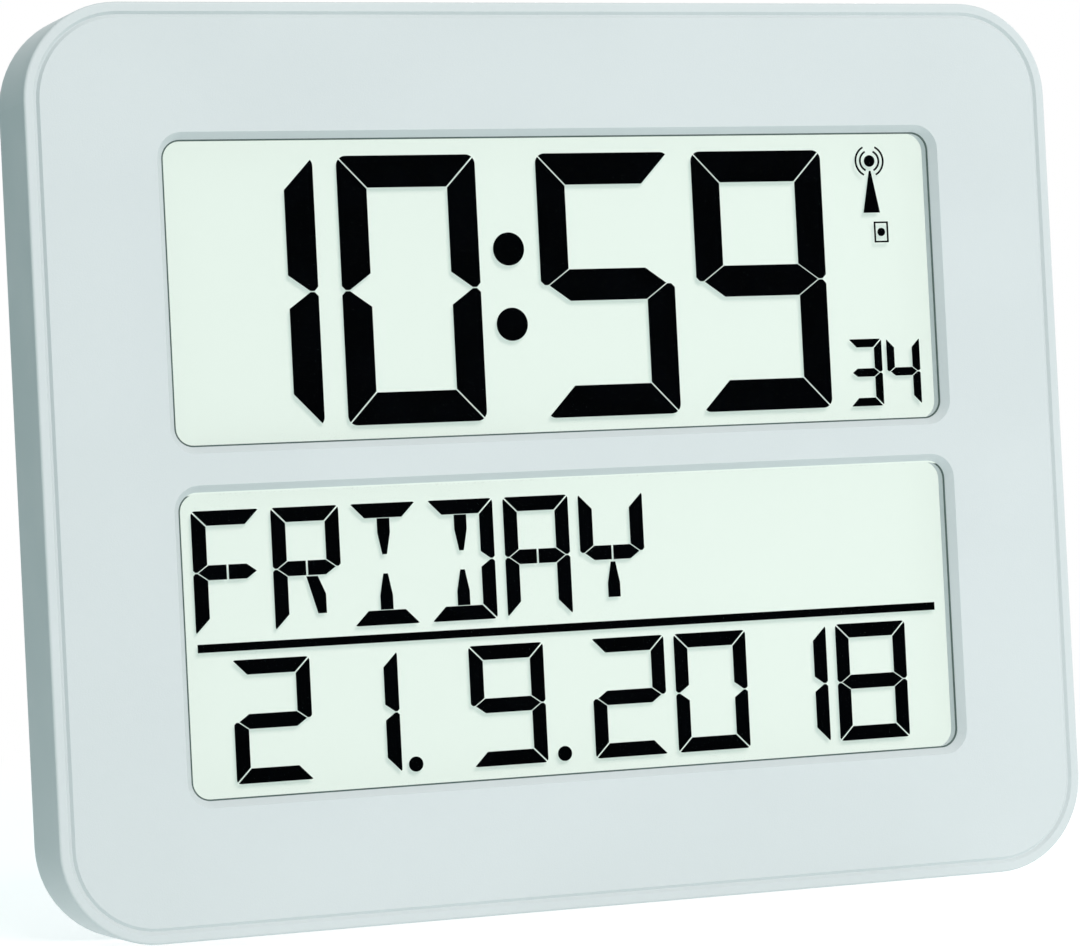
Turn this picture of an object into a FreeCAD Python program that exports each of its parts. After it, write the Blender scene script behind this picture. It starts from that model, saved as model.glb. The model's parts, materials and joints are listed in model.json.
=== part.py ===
import FreeCAD, Part
import math
import os

from FreeCAD import Vector

# Large radio-controlled day clock for a table or a wall, in millimetres.
# +X is to the viewer's right, the face looks towards -Y, +Z is up.
# The origin is under the middle of the clock, on the surface it stands on.

# Overall size of the housing
WIDTH = 258.0
HEIGHT = 212.0
DEPTH = 28.0
CORNER_RADIUS = 22.5
SIDE_DEPTH = 22.0
WALL = 2.2
FACE_THICKNESS = 2.4
EDGE_ROUND = 0.65
WALL_END_ROUND = 0.5
BACK_ROUND = 1.2

# Fine groove round the face
RIM_WIDTH = 2.2
GROOVE_WIDTH = 1.45
GROOVE_DEPTH = 0.65
GROOVE_DRAFT = 0.65

# Two display windows, one above the other
WINDOW_WIDTH = 197.4
WINDOW_HEIGHT = 72.8
WINDOW_RADIUS = 6.0
DIVIDER_HEIGHT = 7.2
BEVEL_INSET = 1.55
BEVEL_DEPTH = 2.1
SKIRT_WALL = 1.6
SEAL_WIDTH = 0.35
SEAL_DEPTH = 0.35
LENS_THICKNESS = 1.5
LENS_CLEARANCE = 0.05

# Display glass
SEGMENT_DEPTH = 6.4
GLASS_THICKNESS = 1.1
CELL_GAP = 0.2
REFLECTOR_THICKNESS = 0.3
GLASS_MARGIN = 4.0
CONTACT_LEDGE = 3.6
EDGE_SEAL_WIDTH = 1.0

# Time digits
DIGIT_WIDTH = 34.3
DIGIT_HEIGHT = 62.4
DIGIT_BAR = 7.45
DIGIT_POST = 7.15
DIGIT_ROUND = 2.3
DIGIT_TIP = 1.9
DIGIT_PITCH = 40.1
DIGIT_LEFT = -94.0
COLON_SPACE = 9.5
COLON_RADIUS = 3.9
COLON_X = -12.1
COLON_RISE = 8.85
SECONDS_WIDTH = 8.9
SECONDS_HEIGHT = 16.3
SECONDS_STROKE = 2.0
SECONDS_TIP = 0.67
SECONDS_PITCH = 10.3
SECONDS_LEFT = 75.2
SEGMENT_GAP = 0.26

# Signal icon and small box icon
SIGNAL_X = 83.4
SIGNAL_RISE = 28.4
SIGNAL_DOT = 1.4
SIGNAL_ARCS = (2.5, 3.7)
SIGNAL_STROKE = 0.42
SIGNAL_OPENING = 26.0
MAST_TOP = 26.0
MAST_BASE = 15.8
MAST_WIDTH = 4.4
BOX_ICON_X = 85.7
BOX_ICON_RISE = 11.05
BOX_ICON_WIDTH = 3.8
BOX_ICON_HEIGHT = 5.1
BOX_ICON_STROKE = 0.4
BOX_ICON_DOT = 1.0

# Weekday row and date row
LETTER_WIDTH = 16.4
LETTER_HEIGHT = 28.2
LETTER_STROKE = 3.4
LETTER_PITCH = 19.05
LETTER_LEFT = -93.0
LETTER_DROP = 9.3
LETTER_TIP = 1.0
POST_WIDTH = 3.06
POST_TIP = 1.09
POST_SHOULDER = 3.34
LEG_WIDTH = 2.04
LEG_SHOULDER = 4.42
LINE_LEFT = -92.8
LINE_RIGHT = 94.9
LINE_WIDTH = 1.9
ROW_GAP = 2.1
DATE_WIDTH = 18.7
DATE_HEIGHT = 28.2
DATE_DOT = 1.75
DATE_PITCH = 21.35
DATE_GROUPS = (("21", -85.0), ("9", -27.2), ("2018", 3.7))
DATE_DOTS = (-41.5, -4.2)

# Holder behind the two displays
HOLDER_PLATE = 1.8
HOLDER_RIM = 1.6
GLASS_CLEARANCE = 0.25
LUG_RADIUS = 4.2
HOLDER_LUGS = ((-1, 50.0), (-1, -50.0), (1, 50.0), (1, -50.0))
HOLDER_BOSS_RADIUS = 3.2
STRIP_WIDTH = 2.0
STRIP_LENGTH = 80.0
STRIP_CLEARANCE = 0.2

# Rear housing
REAR_PLATE = 2.0
FLANGE_THICKNESS = 2.0
FLANGE_CLEARANCE = 0.15
STEP_INSET = 3.0
BACK_DRAFT = 2.0
TOWER_RADIUS = 4.6
SCREW_TUNNEL_RADIUS = 3.3
BOSS_RADIUS = 3.6
BOSS_INSET = 14.5

# Screws
HOUSING_SCREW = 1.4
HOUSING_SCREW_HEAD = 2.8
HOUSING_SCREW_LENGTH = 10.0
SMALL_SCREW = 1.0
SMALL_SCREW_HEAD = 2.0
HOLDER_SCREW_LENGTH = 6.5
BOARD_SCREW_LENGTH = 3.2
HEAD_HEIGHT = 1.4
SCREW_HOLE_CLEARANCE = 0.2
CROSS_WIDTH = 0.6
CROSS_SHARE = 0.62

# Main board
BOARD_THICKNESS = 1.6
BOARD_WIDTH = 88.0
BOARD_HEIGHT = 52.0
BOARD_INSET = 9.0
BOARD_CORNER = 1.0
BOARD_SCREW_INSET = 4.0
CHIP_RADIUS = 7.0
CHIP_HEIGHT = 1.8
CHIP_OFFSETS = (-18.0, 10.0)
CHIP_DROP = 6.0
CRYSTAL_RADIUS = 1.0
CRYSTAL_LENGTH = 6.0
CRYSTAL_LEG = 0.4
CRYSTAL_LEG_REACH = 1.5
CAPACITOR_COUNT = 2
CAPACITOR_RADIUS = 2.5
CAPACITOR_HEIGHT = 7.0
CAPACITOR_PITCH = 7.5
CAPACITOR_INSET = 7.5
CAPACITOR_RISE = 10.0
SMALL_PART = (2.0, 1.2, 0.6)
SMALL_PART_COUNT = 9
SMALL_PART_ROWS = 2
SMALL_PART_PITCH = 5.6
SMALL_PART_ROW_PITCH = 3.0
SMALL_PART_RISE = 3.6

# Set buttons and reset button over tact switches
BUTTON_NAMES = ("set", "up", "down", "signal")
BUTTON_RADIUS = 4.0
BUTTON_PITCH = 16.0
BUTTON_INSET = 10.0
BUTTON_RISE = 15.0
BUTTON_ROUND = 0.4
BUTTON_CLEARANCE = 0.1
BUTTON_RECESS = 0.4
BUTTON_FLANGE = 1.0
BUTTON_FLANGE_THICKNESS = 1.2
BUTTON_FREE = 0.2
STEM_RADIUS = 1.6
RESET_INSET = 14.0
RESET_RADIUS = 1.4
RESET_RECESS = 1.2
SWITCH_SIDE = 6.0
SWITCH_CORNER = 0.5
SWITCH_HEIGHT = 3.5
PLUNGER_RADIUS = 1.7
PLUNGER_RISE = 0.8
PLUNGER_CLEARANCE = 0.08
PLUNGER_SEAT = 2.1
PLUNGER_ROOM = 0.8

# Batteries and their well
BATTERY_RADIUS = 7.1
BATTERY_LENGTH = 50.5
BATTERY_NUB_RADIUS = 2.75
BATTERY_NUB = 1.5
BATTERY_GAP = 1.0
WELL_LEFT = 7.0
WELL_SIDE_GAP = 0.6
WELL_WALL = 2.6
WELL_FLOOR = 1.2
WELL_CLEARANCE = 0.4
SPRING_LENGTH = 5.0
SPRING_BASE_RADIUS = 4.2
SPRING_TOP_RADIUS = 2.6
CONTACT_THICKNESS = 0.4
CONTACT_WIDTH = 10.0

# Battery cover
COVER_THICKNESS = 1.8
COVER_LEDGE = 1.4
COVER_CLEARANCE = 0.25
COVER_RADIUS = 2.0
COVER_ROUND = 0.35
TAB_WIDTH = 7.0
TAB_REACH = 1.45
TAB_THICKNESS = 1.6
TAB_ROOT = 1.5
TAB_OFFSET = 18.0
TAB_CLEARANCE = 0.4
TAB_GAP = 0.2
TAB_SWING_ROOM = 0.3
THUMB_RADIUS = 9.0
THUMB_DEPTH = 0.8
THUMB_INSET = 6.3

# Table stand
STAND_WIDTH = 112.0
STAND_LENGTH = 46.0
STAND_THICKNESS = 4.0
STAND_AXIS_Z = 11.5
STAND_RADIUS = 6.0
STAND_ROUND = 0.6
STAND_CLEARANCE = 0.3
RECESS_FLOOR = 1.6
RECESS_WALL = 2.4
PIN_RADIUS = 1.5
PIN_LENGTH = 1.9
PIN_CLEARANCE = 0.06
FINGER_RADIUS = 9.0
RIB_WIDTH = 3.0
RIB_POCKET_DEPTH = 1.8
RIB_POCKET_COUNT = 4

# Keyhole hanger
KEYHOLE_DROP = 29.0
KEYHOLE_RADIUS = 4.6
KEYHOLE_SLOT = 2.3
KEYHOLE_TRAVEL = 8.5
KEYHOLE_POCKET_DEPTH = 5.0
KEYHOLE_POCKET_WALL = 1.4
KEYHOLE_POCKET_SIDE = 6.2
KEYHOLE_HEADROOM = 0.6

# Radio antenna and receiver board
ROD_RADIUS = 4.0
ROD_LENGTH = 80.0
ROD_X = 52.0
ROD_Y = 3.0
ROD_RISE = 50.0
COIL_LENGTH = 24.0
COIL_WINDING = 1.1
CRADLE_WIDTH = 6.0
CRADLE_WALL = 2.4
CRADLE_GRIP = 3.0
CRADLE_OFFSET = 28.0
RECEIVER_WIDTH = 26.0
RECEIVER_HEIGHT = 18.0
RECEIVER_THICKNESS = 1.0
RECEIVER_INSET = 4.0
RECEIVER_RISE = 46.0
RECEIVER_SCREW_INSET = 2.5
RECEIVER_CHIP_RADIUS = 4.0
RECEIVER_CHIP_HEIGHT = 1.2

# Internal leads
LEAD_RADIUS = 0.6
LEAD_PITCH = 2.2
LEAD_LOOP = 3.0
LEAD_INSET = 3.0
LEAD_BEND_SHARE = 0.45
RECEIVER_LEAD_COUNT = 3
RECEIVER_LEAD_OFFSET = 6.0
ANTENNA_LEAD_COUNT = 2
ANTENNA_LEAD_INSET = 8.8
ANTENNA_LEAD_SPACE = 2.2
BATTERY_LEAD_RISE = 2.0
BATTERY_LEAD_SPREAD = 6.6

# How far two pieces of one moulding reach into each other, and the slack for finding an edge
OVERLAP = 0.1
EDGE_SLACK = 0.01

# Planes along the depth, worked out from the sizes above
FRONT = -DEPTH / 2
BACK = DEPTH / 2
FACE_BACK = FRONT + FACE_THICKNESS
WALL_END = FRONT + SIDE_DEPTH
LENS_FRONT = FRONT + BEVEL_DEPTH
LENS_SHOULDER = LENS_FRONT + SEAL_DEPTH
LENS_BACK = LENS_FRONT + LENS_THICKNESS
SEGMENT_FRONT = FRONT + SEGMENT_DEPTH
GLASS_FRONT = SEGMENT_FRONT - GLASS_THICKNESS
REAR_GLASS_FRONT = SEGMENT_FRONT + CELL_GAP
REFLECTOR_FRONT = REAR_GLASS_FRONT + GLASS_THICKNESS
HOLDER_FRONT = REFLECTOR_FRONT + REFLECTOR_THICKNESS
HOLDER_BACK = HOLDER_FRONT + HOLDER_PLATE
BOARD_BACK = HOLDER_BACK + BOARD_THICKNESS
PLATE_INSIDE = BACK - REAR_PLATE
FLANGE_FRONT = WALL_END - FLANGE_THICKNESS
WELL_FLOOR_FRONT = HOLDER_BACK + WELL_CLEARANCE
WELL_FLOOR_BACK = WELL_FLOOR_FRONT + WELL_FLOOR

# Places across the face
MIDDLE = HEIGHT / 2
WINDOW_OFFSET = (WINDOW_HEIGHT + DIVIDER_HEIGHT) / 2
TIME_Z = MIDDLE + WINDOW_OFFSET
DATE_Z = MIDDLE - WINDOW_OFFSET
OPENING_WIDTH = WINDOW_WIDTH - 2 * BEVEL_INSET
OPENING_HEIGHT = WINDOW_HEIGHT - 2 * BEVEL_INSET
OPENING_RADIUS = WINDOW_RADIUS - BEVEL_INSET
GLASS_WIDTH = OPENING_WIDTH + 2 * GLASS_MARGIN
GLASS_HEIGHT = OPENING_HEIGHT + 2 * GLASS_MARGIN
HOLDER_WIDTH = GLASS_WIDTH + 2 * (GLASS_CLEARANCE + HOLDER_RIM)
HOLDER_HEIGHT = 2 * WINDOW_OFFSET + GLASS_HEIGHT + 2 * (GLASS_CLEARANCE + HOLDER_RIM)
LUG_X = HOLDER_WIDTH / 2 + LUG_RADIUS / 2
LUG_Z = HOLDER_HEIGHT / 2 + LUG_RADIUS / 2
FLANGE_WIDTH = WIDTH - 2 * (WALL + FLANGE_CLEARANCE)
FLANGE_HEIGHT = HEIGHT - 2 * (WALL + FLANGE_CLEARANCE)
FLANGE_RADIUS = CORNER_RADIUS - WALL - FLANGE_CLEARANCE
WELL_LENGTH = BATTERY_LENGTH + SPRING_LENGTH + 2 * CONTACT_THICKNESS
WELL_RIGHT = WELL_LEFT + WELL_LENGTH
WELL_HALF = BATTERY_GAP / 2 + 2 * BATTERY_RADIUS + WELL_SIDE_GAP
BATTERY_Y = WELL_FLOOR_BACK + BATTERY_RADIUS
BATTERY_RISE = BATTERY_RADIUS + BATTERY_GAP / 2
BOARD_LEFT = BOARD_INSET - HOLDER_WIDTH / 2
BOARD_RIGHT = BOARD_LEFT + BOARD_WIDTH
BOARD_BOTTOM = MIDDLE - BOARD_HEIGHT / 2
BOARD_TOP = MIDDLE + BOARD_HEIGHT / 2
BOARD_X = (BOARD_LEFT + BOARD_RIGHT) / 2
CHIP_X = [BOARD_X + offset for offset in CHIP_OFFSETS]
CHIP_Z = MIDDLE - CHIP_DROP
BUTTON_Z = MIDDLE + BUTTON_RISE
RESET_X = BOARD_RIGHT - RESET_INSET
KEYHOLE_Z = HEIGHT - KEYHOLE_DROP
ROD_Z = MIDDLE + ROD_RISE
RECEIVER_X = BOARD_RIGHT - RECEIVER_INSET
RECEIVER_Z = MIDDLE + RECEIVER_RISE

# Letters drawn with fourteen segments, digits with seven
LETTER_SEGMENTS = {
    "F": "a f e g1 g2",
    "R": "a b f e g1 g2 lower_right",
    "I": "a d upper_post lower_post",
    "D": "a b c d upper_post lower_post",
    "A": "a b c e f g1 g2",
    "Y": "b f g1 g2 lower_post",
}
DIGIT_SEGMENTS = {
    "0": "a b c d e f",
    "1": "b c",
    "2": "a b g e d",
    "3": "a b g c d",
    "4": "f g b c",
    "5": "a f g c d",
    "8": "a b c d e f g",
    "9": "a b c d f g",
}


def rounded_face(width, height, radius, y, x=0.0, z=MIDDLE):
    """Flat face in the plane y: a rectangle with round corners, centred on x, z."""
    left, right = x - width / 2, x + width / 2
    low, high = z - height / 2, z + height / 2
    turn = radius * (1 - math.sqrt(0.5))
    edges = []

    def line(x1, z1, x2, z2):
        if abs(x1 - x2) + abs(z1 - z2) > EDGE_SLACK:
            edges.append(Part.LineSegment(Vector(x1, y, z1), Vector(x2, y, z2)).toShape())

    def arc(x1, z1, xm, zm, x2, z2):
        edges.append(Part.Arc(Vector(x1, y, z1), Vector(xm, y, zm), Vector(x2, y, z2)).toShape())

    line(left + radius, low, right - radius, low)
    arc(right - radius, low, right - turn, low + turn, right, low + radius)
    line(right, low + radius, right, high - radius)
    arc(right, high - radius, right - turn, high - turn, right - radius, high)
    line(right - radius, high, left + radius, high)
    arc(left + radius, high, left + turn, high - turn, left, high - radius)
    line(left, high - radius, left, low + radius)
    arc(left, low + radius, left + turn, low + turn, left + radius, low)
    return Part.Face(Part.Wire(edges))


def slab(width, height, radius, y_front, y_back, x=0.0, z=MIDDLE):
    """Rounded rectangle carried straight back from y_front to y_back."""
    return rounded_face(width, height, radius, y_front, x, z).extrude(Vector(0, y_back - y_front, 0))


def taper(width, height, radius, inset, y_front, y_back, x=0.0, z=MIDDLE):
    """Rounded rectangle that has shrunk by inset on every side when it reaches y_back."""
    front = rounded_face(width, height, radius, y_front, x, z).OuterWire
    back = rounded_face(width - 2 * inset, height - 2 * inset, radius - inset, y_back, x, z).OuterWire
    return Part.makeLoft([front, back], True, True)


def block(x1, x2, y1, y2, z1, z2):
    """Plain box between two corners."""
    return Part.makeBox(x2 - x1, y2 - y1, z2 - z1, Vector(x1, y1, z1))


def rod_y(x, z, radius, y1, y2):
    """Round bar along the depth."""
    return Part.makeCylinder(radius, y2 - y1, Vector(x, y1, z), Vector(0, 1, 0))


def rod_x(y, z, radius, x1, x2):
    """Round bar across the clock."""
    return Part.makeCylinder(radius, x2 - x1, Vector(x1, y, z), Vector(1, 0, 0))


def prism(points, y_front, y_back):
    """Flat outline of x, z points carried straight back."""
    corners = [Vector(x, y_front, z) for x, z in points]
    face = Part.Face(Part.makePolygon(corners + corners[:1]))
    return face.extrude(Vector(0, y_back - y_front, 0))


def joined(solids):
    """One solid made of overlapping or touching ones."""
    first, rest = solids[0], solids[1:]
    return first.fuse(rest).removeSplitter() if rest else first


def group(solids):
    """Several separate solids that share one node."""
    return Part.makeCompound(solids)


def save(name, shape):
    """Write one node and say what it holds."""
    shape.exportStep("parts/" + name + ".step")
    good = all(solid.isValid() and solid.isClosed() for solid in shape.Solids)
    print(name, len(shape.Solids), round(shape.Volume, 1), "closed" if good else "OPEN")


def lead(points, radius):
    """Insulated lead: straight runs joined by round bends as large as the runs allow."""
    points = [Vector(*point) for point in points]
    edges = []
    start = points[0]
    for before, corner, after in zip(points, points[1:], points[2:]):
        towards = (corner - before).normalize()
        away = (after - corner).normalize()
        reach = LEAD_BEND_SHARE * min((corner - before).Length, (after - corner).Length)
        half_turn = towards.getAngle(away) / 2
        bend = reach / math.tan(half_turn)
        first = corner - towards * reach
        last = corner + away * reach
        to_centre = (away - towards).normalize()
        middle = corner + to_centre * (bend / math.cos(half_turn) - bend)
        edges.append(Part.LineSegment(start, first).toShape())
        edges.append(Part.Arc(first, middle, last).toShape())
        start = last
    edges.append(Part.LineSegment(start, points[-1]).toShape())
    path = Part.Wire(edges)
    section = Part.Wire(Part.makeCircle(radius, points[0], points[1] - points[0]))
    return path.makePipeShell([section], True, False)


def edges_at(shape, y):
    """The edges that lie in the plane y."""
    return [edge for edge in shape.Edges
            if max(abs(edge.BoundBox.YMin - y), abs(edge.BoundBox.YMax - y)) < EDGE_SLACK]


def screw(x, z, seat, radius, head_radius, length):
    """Cross-head screw driven in from the back, its head resting on the plane seat."""
    head = rod_y(x, z, head_radius, seat, seat + HEAD_HEIGHT)
    shank = rod_y(x, z, radius, seat - length, seat)
    body = joined([head, shank])
    half, arm = CROSS_WIDTH / 2, head_radius * CROSS_SHARE
    top = seat + HEAD_HEIGHT
    for dx, dz in ((arm, half), (half, arm)):
        body = body.cut(block(x - dx, x + dx, top - HEAD_HEIGHT / 2, top, z - dz, z + dz))
    return body


def corner_places():
    """Where the six housing screws stand: four corners and the middle of each side."""
    x = WIDTH / 2 - BOSS_INSET
    heights = (BOSS_INSET, MIDDLE, HEIGHT - BOSS_INSET)
    return [(side * x, z) for side in (-1, 1) for z in heights]


def lug_places():
    """Where the holder is screwed to the front housing: two lugs a side, one above, one below."""
    sides = [(side * LUG_X, MIDDLE + rise) for side, rise in HOLDER_LUGS]
    return sides + [(0.0, MIDDLE + LUG_Z), (0.0, MIDDLE - LUG_Z)]


def front_housing():
    """Tray with the face, its groove, two bevelled windows and the screw bosses."""
    shell = slab(WIDTH, HEIGHT, CORNER_RADIUS, FRONT, WALL_END)
    shell = shell.makeFillet(EDGE_ROUND, edges_at(shell, FRONT))
    shell = shell.makeFillet(WALL_END_ROUND, edges_at(shell, WALL_END))
    inside = (WIDTH - 2 * WALL, HEIGHT - 2 * WALL, CORNER_RADIUS - WALL)
    shell = shell.cut(slab(*inside, FACE_BACK, WALL_END))

    outer, inner = RIM_WIDTH, RIM_WIDTH + GROOVE_WIDTH
    outside = taper(WIDTH - 2 * outer, HEIGHT - 2 * outer, CORNER_RADIUS - outer,
                    GROOVE_DRAFT, FRONT, FRONT + GROOVE_DEPTH)
    island = taper(WIDTH - 2 * inner, HEIGHT - 2 * inner, CORNER_RADIUS - inner,
                   -GROOVE_DRAFT, FRONT, FRONT + GROOVE_DEPTH)
    shell = shell.cut(outside.cut(island))

    skirt = (OPENING_WIDTH + 2 * SKIRT_WALL, OPENING_HEIGHT + 2 * SKIRT_WALL, OPENING_RADIUS + SKIRT_WALL)
    for z in (TIME_Z, DATE_Z):
        shell = shell.fuse(slab(*skirt, FACE_BACK, GLASS_FRONT, z=z))
    for x, z in corner_places():
        shell = shell.fuse(rod_y(x, z, BOSS_RADIUS, FACE_BACK, FLANGE_FRONT))
    for x, z in lug_places():
        shell = shell.fuse(rod_y(x, z, HOLDER_BOSS_RADIUS, FACE_BACK, HOLDER_FRONT))
    for z in (TIME_Z, DATE_Z):
        shell = shell.cut(slab(OPENING_WIDTH, OPENING_HEIGHT, OPENING_RADIUS, FRONT, GLASS_FRONT, z=z))
        shell = shell.cut(taper(WINDOW_WIDTH, WINDOW_HEIGHT, WINDOW_RADIUS, BEVEL_INSET,
                                FRONT, LENS_FRONT, z=z))
    for x, z in corner_places():
        shell = shell.cut(rod_y(x, z, HOUSING_SCREW, WALL_END - HOUSING_SCREW_LENGTH, FLANGE_FRONT))
    for x, z in lug_places():
        shell = shell.cut(rod_y(x, z, SMALL_SCREW, HOLDER_BACK - HOLDER_SCREW_LENGTH, HOLDER_FRONT))
    return shell.removeSplitter()


def window_plate(gap, y_front, y_back, z):
    """Flat plate that leaves a gap all round in the opening of a window."""
    return slab(OPENING_WIDTH - 2 * gap, OPENING_HEIGHT - 2 * gap, OPENING_RADIUS - gap, y_front, y_back, z=z)


def window_seal(z):
    """Thin dark ring that seals the stepped edge of the lens in its opening."""
    ring = window_plate(0.0, LENS_FRONT, LENS_SHOULDER, z)
    return ring.cut(window_plate(SEAL_WIDTH, LENS_FRONT, LENS_SHOULDER, z))


def window_lens(z):
    """Clear flat lens, stepped round its front edge for the seal."""
    front = window_plate(SEAL_WIDTH, LENS_FRONT, LENS_SHOULDER, z)
    return front.fuse(window_plate(LENS_CLEARANCE, LENS_SHOULDER, LENS_BACK, z))


def glass_box(z, y_front, y_back, ledge_side=0):
    """One sheet of display glass. The rear sheet stops short of the contact ledge."""
    low, high = z - GLASS_HEIGHT / 2, z + GLASS_HEIGHT / 2
    if ledge_side < 0:
        low += CONTACT_LEDGE
    if ledge_side > 0:
        high -= CONTACT_LEDGE
    return block(-GLASS_WIDTH / 2, GLASS_WIDTH / 2, y_front, y_back, low, high)


def edge_seal(z, ledge_side):
    """Ring of sealant that joins the two sheets of one display along their edges."""
    ring = glass_box(z, SEGMENT_FRONT, REAR_GLASS_FRONT, ledge_side)
    box = ring.BoundBox
    less = EDGE_SEAL_WIDTH
    hole = block(box.XMin + less, box.XMax - less, box.YMin, box.YMax, box.ZMin + less, box.ZMax - less)
    return ring.cut(hole)


def segment_outlines(width, height, bar, post, tip):
    """Outlines of the segments of one figure, as x, z points from its lower left corner."""
    gap = SEGMENT_GAP
    mid, half = height / 2, bar / 2
    near, far = post + gap, width - post - gap
    top = [(gap, height), (width - gap, height), (far, height - bar), (near, height - bar)]
    upper_left = [(0, height - gap), (post, height - bar - gap), (post, mid + half + gap / 2),
                  (tip, mid + gap / 2), (tip / 2, mid + gap / 2), (0, mid + tip / 2 + gap / 2)]
    middle = [(tip + gap, mid), (near, mid + half), (far, mid + half),
              (width - tip - gap, mid), (far, mid - half), (near, mid - half)]
    flip_x = [(width - x, z) for x, z in upper_left]
    return {
        "a": top,
        "d": [(x, height - z) for x, z in top],
        "f": upper_left,
        "e": [(x, height - z) for x, z in upper_left],
        "b": flip_x,
        "c": [(x, height - z) for x, z in flip_x],
        "g": middle,
    }


def letter_outlines(width, height, stroke, tip):
    """The seven outlines of a figure, with the middle bar in two, and the centre and slanted ones."""
    gap = SEGMENT_GAP
    shapes = segment_outlines(width, height, stroke, stroke, tip)
    mid, half, centre = height / 2, stroke / 2, width / 2
    near = stroke + gap
    inner = centre - gap
    left_bar = [(tip + gap, mid), (near, mid + half), (inner, mid + half),
                (inner, mid - half), (near, mid - half)]
    shapes["g1"] = left_bar
    shapes["g2"] = [(width - x, z) for x, z in left_bar]
    top, low = height - stroke - gap / 2, mid + half + 2 * gap
    shoulder = top - POST_SHOULDER
    slim = POST_TIP / 2
    post_half = POST_WIDTH / 2
    upper_post = [(centre - post_half, top), (centre + post_half, top), (centre + post_half, shoulder),
                  (centre + slim, low), (centre - slim, low), (centre - post_half, shoulder)]
    shapes["upper_post"] = upper_post
    shapes["lower_post"] = [(x, height - z) for x, z in upper_post]
    foot, end = width - stroke - 2 * gap, centre + post_half + gap
    leg_low, leg_top = stroke + gap / 2, mid - half - gap
    shapes["lower_right"] = [(foot, leg_low), (foot - LEG_WIDTH, leg_low), (end - LEG_WIDTH, leg_top),
                             (end + LEG_WIDTH / 3, leg_top), (foot, mid - half - LEG_SHOULDER)]
    return shapes


def figure(names, outlines, width, height, round_corner, left, bottom):
    """Lit segments of one figure, trimmed to its rounded outer shape."""
    y1, y2 = SEGMENT_FRONT, REAR_GLASS_FRONT
    outer = slab(width, height, round_corner, y1, y2, x=left + width / 2, z=bottom + height / 2)
    lit = []
    for name in names.split():
        points = [(left + x, bottom + z) for x, z in outlines[name]]
        lit += prism(points, y1, y2).common(outer).Solids
    return lit


def disc(x, z, radius):
    """Round dot on a display."""
    return rod_y(x, z, radius, SEGMENT_FRONT, REAR_GLASS_FRONT)


def time_segments():
    """Hours, minutes, colon and the small seconds."""
    bottom = TIME_Z - DIGIT_HEIGHT / 2
    big = segment_outlines(DIGIT_WIDTH, DIGIT_HEIGHT, DIGIT_BAR, DIGIT_POST, DIGIT_TIP)
    small = segment_outlines(SECONDS_WIDTH, SECONDS_HEIGHT, SECONDS_STROKE, SECONDS_STROKE, SECONDS_TIP)
    lit = []
    for place, digit in enumerate("1059"):
        left = DIGIT_LEFT + place * DIGIT_PITCH + (COLON_SPACE if place > 1 else 0.0)
        lit += figure(DIGIT_SEGMENTS[digit], big, DIGIT_WIDTH, DIGIT_HEIGHT, DIGIT_ROUND, left, bottom)
    for side in (-1, 1):
        lit.append(disc(COLON_X, TIME_Z + side * COLON_RISE, COLON_RADIUS))
    for place, digit in enumerate("34"):
        left = SECONDS_LEFT + place * SECONDS_PITCH
        lit += figure(DIGIT_SEGMENTS[digit], small, SECONDS_WIDTH, SECONDS_HEIGHT, SECONDS_TIP, left, bottom)
    return group(lit)


def arc_band(radius, side):
    """One bowed stroke of the signal icon, open above and below."""
    x, z = SIGNAL_X, TIME_Z + SIGNAL_RISE
    ring = disc(x, z, radius + SIGNAL_STROKE / 2).cut(disc(x, z, radius - SIGNAL_STROKE / 2))
    far = 2 * radius
    lean = math.radians(SIGNAL_OPENING)
    wedge = [(x, z), (x + side * far * math.sin(lean), z + far * math.cos(lean)),
             (x + side * 2 * far, z), (x + side * far * math.sin(lean), z - far * math.cos(lean))]
    return ring.common(prism(wedge, SEGMENT_FRONT, REAR_GLASS_FRONT)).Solids


def status_icons():
    """Radio mast with its signal arcs, and a small box with a dot."""
    lit = [disc(SIGNAL_X, TIME_Z + SIGNAL_RISE, SIGNAL_DOT)]
    for radius in SIGNAL_ARCS:
        for side in (-1, 1):
            lit += arc_band(radius, side)
    foot, tip = MAST_WIDTH / 2, SIGNAL_STROKE / 2
    foot_z, tip_z = TIME_Z + MAST_BASE, TIME_Z + MAST_TOP
    mast = [(SIGNAL_X - foot, foot_z), (SIGNAL_X + foot, foot_z),
            (SIGNAL_X + tip, tip_z), (SIGNAL_X - tip, tip_z)]
    lit.append(prism(mast, SEGMENT_FRONT, REAR_GLASS_FRONT))
    z = TIME_Z + BOX_ICON_RISE
    left, right = BOX_ICON_X - BOX_ICON_WIDTH / 2, BOX_ICON_X + BOX_ICON_WIDTH / 2
    low, high = z - BOX_ICON_HEIGHT / 2, z + BOX_ICON_HEIGHT / 2
    less = BOX_ICON_STROKE
    frame = block(left, right, SEGMENT_FRONT, REAR_GLASS_FRONT, low, high)
    hole = block(left + less, right - less, SEGMENT_FRONT, REAR_GLASS_FRONT, low + less, high - less)
    lit += [frame.cut(hole), disc(BOX_ICON_X, z, BOX_ICON_DOT)]
    return group(lit)


def weekday_bottom():
    """Lower edge of the weekday letters, whose top is set down from the divider's middle."""
    return MIDDLE - LETTER_DROP - LETTER_HEIGHT


def weekday_segments():
    """The weekday, in fourteen-segment letters."""
    outlines = letter_outlines(LETTER_WIDTH, LETTER_HEIGHT, LETTER_STROKE, LETTER_TIP)
    lit = []
    for place, letter in enumerate("FRIDAY"):
        left = LETTER_LEFT + place * LETTER_PITCH
        lit += figure(LETTER_SEGMENTS[letter], outlines, LETTER_WIDTH, LETTER_HEIGHT, LETTER_TIP,
                      left, weekday_bottom())
    return group(lit)


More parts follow.
